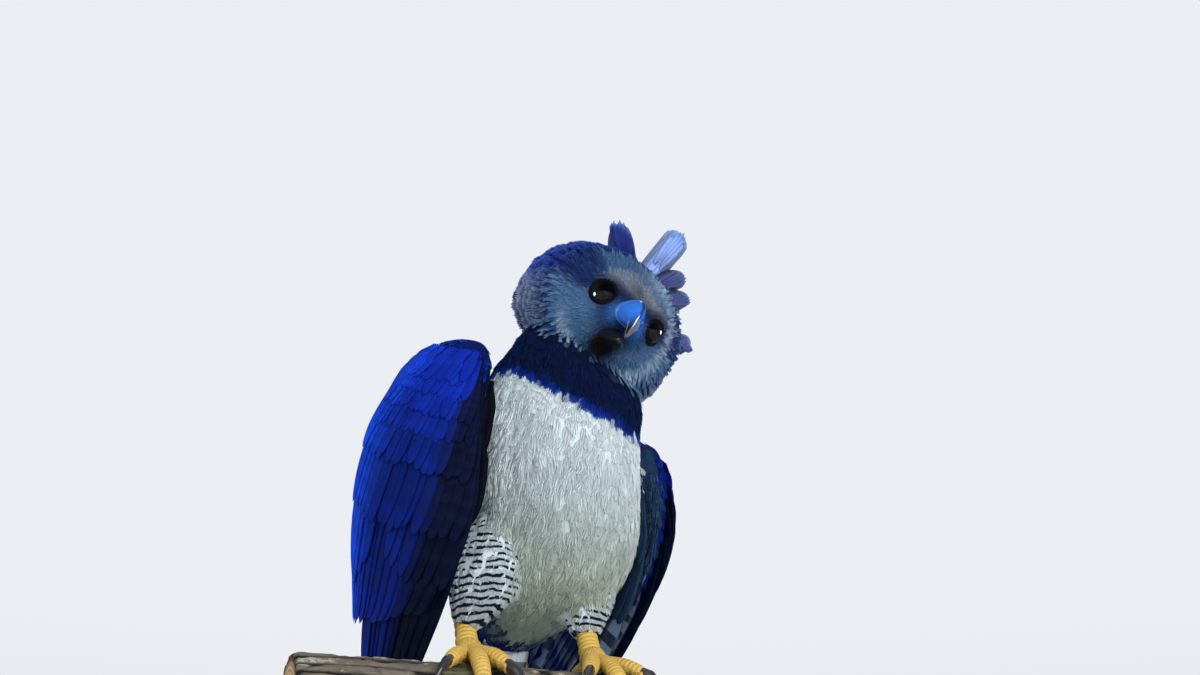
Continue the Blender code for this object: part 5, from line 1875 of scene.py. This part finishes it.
@dataclass
class Crest:
    """The raised double crest: a few broad feathers, each with narrower ones behind it."""

    rng: Chance
    # Root and tip as (to the left, back, up), width, how pale and how grey it is, and where its tip begins to
    # round off
    feathers: tuple = (
        ((14, 18, 50), (32, 46, 161), 31, 0.95, 0.0, 0.90),
        ((4, 26, 58), (-38, 46, 121), 42, 0.05, 0.0, 0.25),
        ((22, 14, 58), (58, 40, 117), 30, 0.25, 0.7, 0.40),
        ((34, 8, 50), (75, 34, 96), 28, 0.28, 0.7, 0.40),
        ((70, 8, 32), (104, 22, 44), 30, 0.40, 0.6, 0.35),
        ((38, 52, 40), (46, 88, 112), 30, 0.30, 0.4, 0.50),
        ((10, 54, 48), (6, 86, 116), 31, 0.15, 0.3, 0.50),
        ((-18, 56, 46), (-34, 90, 100), 30, 0.05, 0.0, 0.50),
    )
    beside: tuple = (
        (0.0, 1.0, 1.0, 0.0), (-0.22, 0.95, 0.8, 4.0), (0.22, 0.93, 0.8, 5.0), (0.0, 0.88, 0.95, 8.0)
    )

    def build(self) -> None:
        """Makes the crest."""
        batches = []
        for root, tip, width, pale, grey, blunt in self.feathers:
            aside, long, wide, behind = (np.array(column)[:, None] for column in zip(*self.beside))
            shift = np.hstack([aside * width * 0.8, behind, 0 * behind])
            start = np.array(root, float) + shift * (0.5, 1, 1)
            end = np.array(root) + (np.array(tip) - root) * long + shift
            tint = np.clip(pale * (1 - 0.06 * behind[:, 0]), 0, 1)
            base = blend(INK.crest_dark, INK.crest_pale, tint)
            base = blend(base, INK.crest_grey, np.full(len(start), grey))
            tints = (base, blend(base, INK.crest_edge, np.full(len(start), 0.55 * (1 - 0.7 * grey))))
            side, bend = np.array((-1, -0.1, 0)), np.array((0, 5, 0))
            form = (0.55, 0.40, blunt, 2.4)
            sizes = width * wide[:, 0]
            batches += free_quills(HEAD, start, end, side, sizes, bend, form, tints, self.rng, CREST_LOBES, 0.4)
        finish = PlumeFinish(
            "crest_feathers", variety=0.12, barbs=0.4, fringe_from=0.80, shaft=0.3, lines=(4.0, 2.0), glow=0.3
        )
        batches = [replace(b, camber=0.16) for b in batches]
        quill_piece(batches, "crest", finish, ("head",))


def bill_rings(sections: Sequence, rings: int, sides: int, squareness: float = 0.42) -> Array:
    """Rings of one half of the bill.

    Args:
        sections: Ridge (front, up), cutting edge (front, up) and width at each key.
        rings: How many rings.
        sides: Points on a ring.
        squareness: How much wider a ring is near its cutting edge than near its ridge.

    Returns:
        Rings in the head's frame.
    """
    flat = np.array([(*top, *low, width) for top, low, width in sections], float)
    top_y, top_z, low_y, low_z, width = through(flat, evenly(rings)).T
    turn = turns(sides)
    spread = np.cos(turn) * (1 - squareness * np.sin(turn)) * width[:, None] / 2
    front = (top_y + low_y)[:, None] / 2 + np.sin(turn) * (top_y - low_y)[:, None] / 2
    up = (top_z + low_z)[:, None] / 2 + np.sin(turn) * (top_z - low_z)[:, None] / 2
    return np.stack([spread, -front, up], -1)


@dataclass
class Bill:
    """The hooked bill, with a cere and slit nostrils."""

    upper: tuple = (
        ((36, 19), (31, -14), 37),
        ((50, 18), (43, -15), 35),
        ((62, 15.5), (53, -16), 30),
        ((71, 10), (60, -18), 25),
        ((78, 2), (66, -20), 19.5),
        ((81, -9), (71, -23), 14.5),
        ((80.5, -20), (74, -26.5), 9.5),
        ((78.5, -30), (75, -32), 5),
    )
    tip: tuple = (0, -76, -38)
    jaw: tuple = (
        ((33, -17), (24, -35), 31),
        ((44, -20), (38, -39), 28),
        ((54, -25), (49, -41), 22),
        ((62, -30), (58, -41), 15),
        ((67, -35), (65, -39.5), 8),
    )
    cere: float = 0.27  # how far along the bill the cere ends
    nostril: tuple = (16.5, -47.0, 5.0)
    slit: tuple = (1.9, 4.4)  # half width and half height

    def build(self) -> None:
        """Makes both halves."""
        rings = bill_rings(self.upper, 70, 64)
        middle = rings.mean(axis=1, keepdims=True)
        along = evenly(70)[:, None]
        turn = turns(64)
        swell = 0.9 * np.exp(-(((along - self.cere + 0.06) / 0.06) ** 2))
        swell = swell - 0.7 * np.exp(-(((along - self.cere) / 0.018) ** 2))
        pinch = -0.9 * np.exp(-((np.sin(turn) + 0.55) / 0.22) ** 2)
        pinch = pinch * ramp(0.30, 0.5, along) * ramp(0.95, 0.7, along)
        rings = rings + unit(rings - middle) * (swell * ramp(1.2, 0.2, np.sin(turn)) + pinch)[..., None]
        for side in (-1, 1):
            off = rings - np.array((side * self.nostril[0], *self.nostril[1:]))
            dent = np.exp(
                -((off[..., 1] + 0.25 * off[..., 2]) / self.slit[0]) ** 2 - (off[..., 2] / self.slit[1]) ** 2
            )
            rings[..., 0] -= side * 3.2 * dent * (off[..., 0] * side > -9)
        dressed(
            self.half(rings, self.tip), "bill_top", BillFinish("bill_horn", self.cere),
            ("bill_upper",)
        )
        rings = bill_rings(self.jaw, 40, 48)
        dressed(
            self.half(rings, None), "bill_under", BillFinish("jaw_horn", 0.0, dark=1.0),
            ("bill_lower",)
        )

    def half(self, rings: Array, tip: tuple | None) -> Shape:
        """A closed half of the bill in the row frame."""
        end = None if tip is None else HEAD.out(tip)
        return grid_shape(HEAD.out(rings), (None, end))


@dataclass
class Eye:
    """One eye and its lids."""

    side: int
    centre: tuple = (33.0, -34.0, 5.0)
    radius: float = 15.0
    outward: float = 36.0
    opening: float = 61.0  # degrees from the eye's axis to the lids' edge
    upper_lid: float = 13.0  # how much lower the upper lid hangs
    lower_lid: float = 6.0
    # The lid's profile: degrees out from its edge, and distance from the eye's centre
    profile: tuple = (
        (-1.0, 15.02), (-0.6, 15.7), (1.5, 16.5), (5.0, 16.9), (10.0, 16.9), (16.0, 16.2), (24.0, 14.6)
    )

    def axes(self) -> tuple[Array, Array, Array]:
        """The eye's forward, sideways and up directions in the head's frame."""
        turn = math.radians(self.outward)
        ahead = np.array((self.side * math.sin(turn), -math.cos(turn), 0.0))
        across = np.array((self.side * math.cos(turn), math.sin(turn), 0.0))
        return ahead, across, np.array((0, 0, 1.0))

    def shell(self, out: Array, far: Array, turn: Array) -> Array:
        """Places round the eye, by angles from its axis, distances and turns about the axis."""
        ahead, across, up = self.axes()
        round_axis = np.cos(turn)[..., None] * across + np.sin(turn)[..., None] * up
        spot = np.cos(out)[..., None] * ahead + np.sin(out)[..., None] * round_axis
        middle = np.array((self.side * self.centre[0], *self.centre[1:]))
        return HEAD.out(middle + spot * far[..., None])

    def build(self) -> None:
        """Makes the eye and the lids."""
        name = "left" if self.side > 0 else "right"
        turn = turns(48)[None]
        out = np.radians(np.linspace(178, 2, 45))[:, None]
        far = self.radius + 0.5 * ramp(34, 8, np.degrees(out))
        rings = self.shell(*np.broadcast_arrays(out, far, turn))
        pole = self.shell(np.zeros(1), np.full(1, self.radius + 0.5), np.zeros(1))[0]
        ball = grid_shape(rings, (None, pole))
        ball.values["away"] = np.append(np.repeat(np.degrees(out[:, 0]), 48), (180, 0))
        dressed(ball, f"eyeball_{name}", EyeFinish("wet_eye"), (f"eye_{name}",))
        turn = turns(72)[None]
        edge = self.opening - self.upper_lid * np.clip(
            np.sin(turn + 0.25), 0, 1
        ) ** 1.3 - self.lower_lid * np.clip(-np.sin(turn), 0, 1)
        edge = edge + 3 * np.abs(np.cos(turn)) ** 10
        keys = np.array(self.profile)
        step, far = through(keys, evenly(26)).T
        far = far[:, None] + 0.18 * np.sin(step * 1.4)[:, None] * ramp(1, 8, step)[:, None] + 0 * turn
        rings = self.shell(np.radians(edge + step[:, None]), far, turn + 0 * far)
        lid = grid_shape(rings)
        lid = Shape(lid.points[:-2], lid.faces[:1], {"along": lid.values["along"][:-2]})
        dressed(lid, f"lids_{name}", SkinFinish("lid_skin", INK.lid))


@dataclass
class Legs:
    """Scaly tarsi and toes with long black claws, on the same paths as the solids."""

    toe_radius: float = 9.5
    # Each toe: splay from straight ahead in degrees, length, claw length, share of the toe radius
    toes: dict = field(
        default_factory=lambda: {
            "inner": (24, 66, 60, 1.0),
            "middle": (-3, 88, 50, 1.0),
            "outer": (-33, 68, 42, 0.92),
            "hind": (172, 52, 68, 1.05),
        }
    )
    toe_shares: tuple = (1.0, 1.0, 0.94, 1.0, 0.92, 0.72)
    claw_shares: tuple = (0.62, 0.60, 0.52, 0.42, 0.30, 0.18, 0.06)
    claw_sunk: float = 6.0
    claw_depth: float = 1.25
    sole: float = 14.0
    perch_radius: float = 85.0
    perch_top: float = 310.0
    gap: float = 0.3
    scute: float = 5.2  # length of one scute

    def path(
        self, foot_x: float, side: int, splay: float, start: float, length: float, heights: Sequence,
        steps: int
    ) -> Array:
        """A toe's or a claw's middle line round the perch."""
        share = evenly(steps)
        reach = start + length * share
        radius = self.perch_radius + np.interp(share, evenly(len(heights)), heights)
        turn = math.radians(splay)
        angle = math.cos(turn) * reach / self.perch_radius
        x = foot_x - side * math.sin(turn) * reach
        return np.stack(
            [x, -radius * np.sin(angle), self.perch_top - self.perch_radius + radius * np.cos(angle)], 1
        )

    def up(self, path: Array) -> Array:
        """The direction away from the perch over a path's middle."""
        middle = path[len(path) // 2]
        return unit(middle - np.array((middle[0], 0, self.perch_top - self.perch_radius)))

    def scales(self, shape: tuple[int, int], length: float, top: Array) -> tuple[Array, Array]:
        """Overlapping scutes on a tube.

        Args:
            shape: Rings and sides.
            length: The tube's length.
            top: How much each side is covered by scutes, from 0 to 1.

        Returns:
            How far each point is raised, and how deep in a groove it is.
        """
        along = np.linspace(0, 1, shape[0])[:, None] * length / self.scute
        step = along - np.floor(along)
        groove = np.exp(-((np.minimum(step, 1 - step) / 0.13) ** 2)) * top
        return 0.55 * top * (step - 0.5) - 0.75 * groove, groove

    def limb(
        self, path: Array, radii: Array, up: Array, sides: int, top_turn: float, flatten: float = 1.0
    ) -> Shape:
        """A scaly tube whose scutes face one way."""
        turn = turns(sides)
        top = np.broadcast_to(ramp(0.0, 0.5, np.cos(turn - top_turn)), (len(path), sides))
        length = np.linalg.norm(np.diff(path, axis=0), axis=1).sum()
        raised, groove = self.scales((len(path), sides), length, top)
        pads = 0.9 * np.sin(
            evenly(len(path)) * length / 11.0 * math.pi
        )[:, None] ** 2 * (1 - top) - 0.6 * (1 - top)
        shape = grid_shape(tube(path, radii[:, None] - 0.3 + raised + pads, sides, up, flatten))
        shape.values["groove"] = np.append(groove, (0, 0))
        shape.values["top"] = np.append(top, (0, 0))
        return shape

    def build_side(self, which: str, side: int) -> None:
        """Makes one leg, foot and set of claws."""
        foot_x = FOOT_X[which]
        scaly, horn = ScaleFinish("yellow_scales"), HornFinish("claw_horn")
        sole = np.array((foot_x, 6, self.perch_top + 13))
        hock = np.array((foot_x, 46, self.perch_top + 84))
        line = sole + np.outer(evenly(90), hock - sole)
        radii = profile((13, 12, 11.5, 12, 13), 90)
        tarsus = self.limb(line, radii, (0, 1, 0), 40, -math.pi / 2)
        dressed(tarsus, f"scaly_tarsus_{which}", scaly, (f"tarsus_{which}",))
        parts = [self.ball(self.path(foot_x, side, 0, 0, 1, (self.sole + 0.5,) * 2, 2)[0])]
        for name, (splay, length, claw_length, share) in self.toes.items():
            radius = self.toe_radius * share
            lie = radius + self.gap
            line = self.path(foot_x, side, splay, 0, length, (lie + 2, lie, lie, lie, lie), 80)
            shares = profile(self.toe_shares, 80)
            parts.append(self.limb(line, shares * radius, self.up(line), 32, math.pi / 2))
            heights = (lie, lie + 3, lie + 1, lie - 4, 2.0)
            line = self.path(foot_x, side, splay, length - self.claw_sunk, claw_length, heights, 40)
            shares = profile(self.claw_shares, 40)
            claw = grid_shape(tube(line, shares * radius, 24, self.up(line), self.claw_depth))
            dressed(claw, f"talon_{name}_{which}", horn, (f"claw_{name}_{which}",))
        dressed(joined(parts), f"scaly_foot_{which}", scaly, (f"foot_{which}",))

    def ball(self, centre: Array) -> Shape:
        """The round sole that the toes spread from."""
        out = np.radians(np.linspace(175, 5, 24))[:, None]
        turn = turns(32)[None]
        spot = np.stack(
            np.broadcast_arrays(np.sin(out) * np.cos(turn), np.sin(out) * np.sin(turn), np.cos(out)), -1
        )
        shape = grid_shape(centre + spot * (self.sole - 0.2))
        shape.values["groove"] = np.zeros(len(shape.points))
        shape.values["top"] = np.zeros(len(shape.points))
        return shape

    def build(self) -> None:
        """Makes both legs."""
        self.build_side("left", 1)
        self.build_side("right", -1)


@dataclass
class Perch:
    """A cut length of limb with fissured bark and two sawn ends."""

    radius: float = 85.0
    length: float = 520.0
    height: float = 225.0
    rings: int = 190
    sides: int = 230
    depth: float = 4.2
    rough: float = 1.3
    bevel: float = 3.0
    seed: int = 3  # of the bark's twist

    def bark(self, x: Array, turn: Array) -> Array:
        """How deep the bark lies at places along and round the limb."""
        spots = np.stack([x / 95.0, np.cos(turn) * 5.2, np.sin(turn) * 5.2], -1).reshape(-1, 3)
        noise.seed_set(self.seed)
        twist = np.array([noise.noise_vector(Vector(p) * 0.8) for p in spots])
        crack = 1 - np.abs(
            np.array([noise.noise(Vector(p)) for p in spots * (1.0, 1.25, 1.25) + 0.55 * twist])
        ) * 3.2
        cross = 1 - np.abs(
            np.array([noise.noise(Vector(p)) for p in spots * (4.2, 0.8, 0.8) + 9.0 + 0.4 * twist])
        ) * 4.0
        grain = np.array([noise.noise(Vector(p)) for p in spots * (6.0, 4.0, 4.0) + 4.0])
        cut = self.depth * np.clip(crack, 0, 1) ** 1.6 * 0.8 + self.depth * 0.35 * np.clip(cross, 0, 1) ** 2
        return np.clip(cut + self.rough * (0.5 + grain), 0, self.depth).reshape(x.shape)

    def build(self) -> None:
        """Makes the limb."""
        x, turn = np.broadcast_arrays(
            np.linspace(-1, 1, self.rings)[:, None] * (self.length / 2), turns(self.sides)[None]
        )
        deep = self.bark(x, turn)
        from_end = self.length / 2 - np.abs(x)
        radius = self.radius - 0.2 - deep - 2.0 * ramp(self.bevel, 0, from_end)
        rings = np.stack([x, radius * np.sin(turn), self.height + radius * np.cos(turn)], -1)
        caps = [
            np.stack(
                [x[k], 0.995 * radius[k] * np.sin(turn[k]), self.height + 0.995 * radius[k] * np.cos(turn[k])],
                -1
            ) for k in (0, -1)
        ]
        rings = np.concatenate([caps[0][None], rings, caps[1][None]])
        shape = grid_shape(rings)
        sawn = np.zeros(rings.shape[:2])
        sawn[[0, -1]] = 1
        shape.values["sawn"] = np.append(sawn, (1, 1))
        shape.values["deep"] = np.concatenate([deep[0], deep.ravel(), deep[-1], (0, 0)]) / self.depth
        shape.values["off"] = np.linalg.norm(shape.points[:, 1:] - (0, self.height), axis=1) * MM
        dressed(shape, "bark_perch", BarkFinish("limb_bark"), ("perch",))


@dataclass
class Stand:
    """The plain display stand, which keeps the solids' own base and rods."""

    def build(self) -> None:
        """Gives the base and the rods their finishes."""
        base, rod = PaintFinish("satin_paint", srgb(70, 71, 75)), SteelFinish("brushed_steel")
        for name, finish in (("stand_base", base), ("stand_rod_left", rod), ("stand_rod_right", rod)):
            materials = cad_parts[name].data.materials
            materials.clear()
            materials.append(finish.material())


@dataclass
class Studio:
    """Floor, light and a camera with the photograph's framing, seen from below on the bird's right."""

    azimuth: float = -20.0
    elevation: float = -25.0
    distance: float = 1.54
    lens: float = 41.9
    image: tuple[int, int] = (1200, 675)
    head_off: tuple[float, float] = (-11.0, -17.5)  # pixels from the image's middle that frame the head
    floor_tint: tuple = srgb(232, 234, 237)
    sky: tuple = ((0.66, 0.70, 0.75), (0.88, 0.91, 0.95))  # the backdrop at the floor's far edge, and higher up

    def back_vector(self, azimuth: float, elevation: float) -> Vector:
        """The direction from the subject to a viewer."""
        a, e = math.radians(azimuth), math.radians(elevation)
        return Vector((math.sin(a) * math.cos(e), -math.cos(a) * math.cos(e), math.sin(e)))

    def camera(self) -> None:
        """Sets up the camera."""
        data = bpy.data.cameras.new("camera")
        data.lens = self.lens
        data.shift_x = self.head_off[0] / self.image[0]
        data.shift_y = self.head_off[1] / self.image[0]
        obj = bpy.data.objects.new("camera", data)
        bpy.context.scene.collection.objects.link(obj)
        back = self.back_vector(self.azimuth, self.elevation)
        obj.location = Vector(HEAD.place) * MM + back * self.distance
        obj.rotation_euler = (-back).to_track_quat("-Z", "Y").to_euler()
        bpy.context.scene.camera = obj

    def lamp(
        self, name: str, azimuth: float, elevation: float, far: float, size: float, power: float, tint: tuple,
        eyes: Sequence[str] = (),
    ) -> None:
        """Adds one soft lamp that looks at the bird.

        Args:
            name: The lamp's name.
            azimuth: Where it stands round the bird, in degrees.
            elevation: How high it stands, in degrees.
            far: Its distance in metres.
            size: Its width in metres.
            power: Its power in watts.
            tint: Its colour.
            eyes: The eyes that it lights, for a lamp that lights nothing else. Other lamps leave the eyes out.
        """
        data = bpy.data.lights.new(name, "AREA")
        data.size = size
        data.energy = power
        data.color = tint
        obj = bpy.data.objects.new(name, data)
        bpy.context.scene.collection.objects.link(obj)
        back = self.back_vector(azimuth, elevation)
        obj.location = Vector((0, 0, 0.45)) + back * far
        obj.rotation_euler = (-back).to_track_quat("-Z", "Y").to_euler()
        lit = bpy.data.collections.new(f"{name} and the eyes")
        for side in eyes or ("left", "right"):
            lit.objects.link(bpy.data.objects[f"eyeball_{side}"])
        for entry in lit.collection_objects:
            entry.light_linking.link_state = "INCLUDE" if eyes else "EXCLUDE"
        obj.light_linking.receiver_collection = lit

    def build(self) -> None:
        """Makes the floor, the light and the camera."""
        size = 30.0
        ring = np.array(((-size, -size, 0), (size, -size, 0), (size, size, 0), (-size, size, 0))) / MM
        paper = PaintFinish("floor_paper", self.floor_tint, 0.9).material()
        Shape(ring, [np.array(((0, 1, 2, 3),))]).to_object("floor", paper)
        world = bpy.data.worlds.new("studio")
        world.use_nodes = True
        tree, light = world.node_tree, world.node_tree.nodes["Background"]
        where, split = tree.nodes.new("ShaderNodeTexCoord"), tree.nodes.new("ShaderNodeSeparateXYZ")
        fade = tree.nodes.new("ShaderNodeValToRGB")
        fade.color_ramp.interpolation = "EASE"
        for stop, place, tint in zip(fade.color_ramp.elements, (0.0, 0.22), self.sky):
            stop.position, stop.color = place, (*tint, 1)
        tree.links.new(where.outputs["Generated"], split.inputs[0])
        tree.links.new(split.outputs["Z"], fade.inputs["Fac"])
        tree.links.new(fade.outputs["Color"], light.inputs["Color"])
        light.inputs["Strength"].default_value = 0.94
        world.cycles_visibility.glossy = False
        bpy.context.scene.world = world
        self.lamp("key", 8, 10, 2.8, 1.6, 66, (1.0, 0.99, 0.97))
        self.lamp("fill", -70, 20, 2.8, 1.6, 10, (0.92, 0.96, 1.0))
        self.lamp("rim", 165, 50, 2.8, 1.4, 24, (0.84, 0.90, 1.0))
        self.lamp("catch light", -100, 4, 2.2, 0.75, 190, (1.0, 1.0, 1.0), ("left", "right"))
        self.lamp("catch light left", 85, 10, 2.2, 0.7, 150, (1.0, 1.0, 1.0), ("left",))
        bpy.context.scene.view_settings.view_transform = "Standard"
        self.camera()


FEATHERED = ("torso", "neck", "head", "thigh_left", "thigh_right")


@dataclass
class Plumage:
    """The skin and its coat of small feathers."""

    skin: Skin
    rng: Chance

    def skin_piece(self) -> None:
        """The skin itself, which wears the coat's own markings."""
        skin = self.skin
        base, _, barred = MARKS.tints(skin.points, skin.normals, skin.weights)
        values = {"quill": np.zeros((len(base), 3)), "plume": base * 0.7, "fringe": base, "barred": barred * 0}
        shape = Shape(skin.points, [skin.quads], values, [skin.places])
        dressed(shape, "skin", PlumeFinish("down"), FEATHERED)

    def build(self) -> None:
        """Makes the skin and the coat."""
        self.skin_piece()
        coat = Coat(self.skin, self.rng)
        faces, shares = self.skin.scattered(coat.spacing, self.rng)
        points = self.skin.at(faces, shares, self.skin.points)
        weights = self.skin.at(faces, shares, self.skin.weights)
        body = PlumeFinish(
            "contour_feathers", level=0.0072, bar_width=(0.1, 0.5), variety=0.07, barbs=0.12, glow=0.7
        )
        face = PlumeFinish("face_feathers", variety=0.2, barbs=0.28, glow=0.3)
        on_head = weights[:, Part.HEAD] > 0.5
        log.info("roots: %d on the body, %d on the head", (~on_head).sum(), on_head.sum())
        for name, rows, finish, lobes, tint_at, slot in (
            ("coat_body", ~on_head, body, BODY_LOBES, 0.75, "white_down"),
            ("coat_head", on_head, face, FACE_LOBES, 0.4, "face"),
        ):
            sizes = coat.sizes(points[rows], weights[rows])
            tufts = Tufts(*sizes, lobes, tint_at)
            batches = coat.grow(faces[rows], shares[rows], tufts)
            in_pieces(batches, name, finish)


def main() -> None:
    """Builds every piece in order: the stand, the limb and the bare parts, then the skin and its feathers, then
    the studio.
    """
    logging.basicConfig(level=logging.INFO, format="%(name)s %(message)s")
    rng = np.random.default_rng(SEED)
    Stand().build()
    Perch().build()
    Legs().build()
    Bill().build()
    for side in (-1, 1):
        Eye(side).build()
    skin = Skin(Anatomy().guides())
    Plumage(skin, rng).build()
    for side in ("right", "left"):
        Wing(side, rng).build()
    TailFan(rng).build()
    Crest(rng).build()
    Ruff(rng).build()
    Studio().build()


if __name__ == "__main__":
    main()
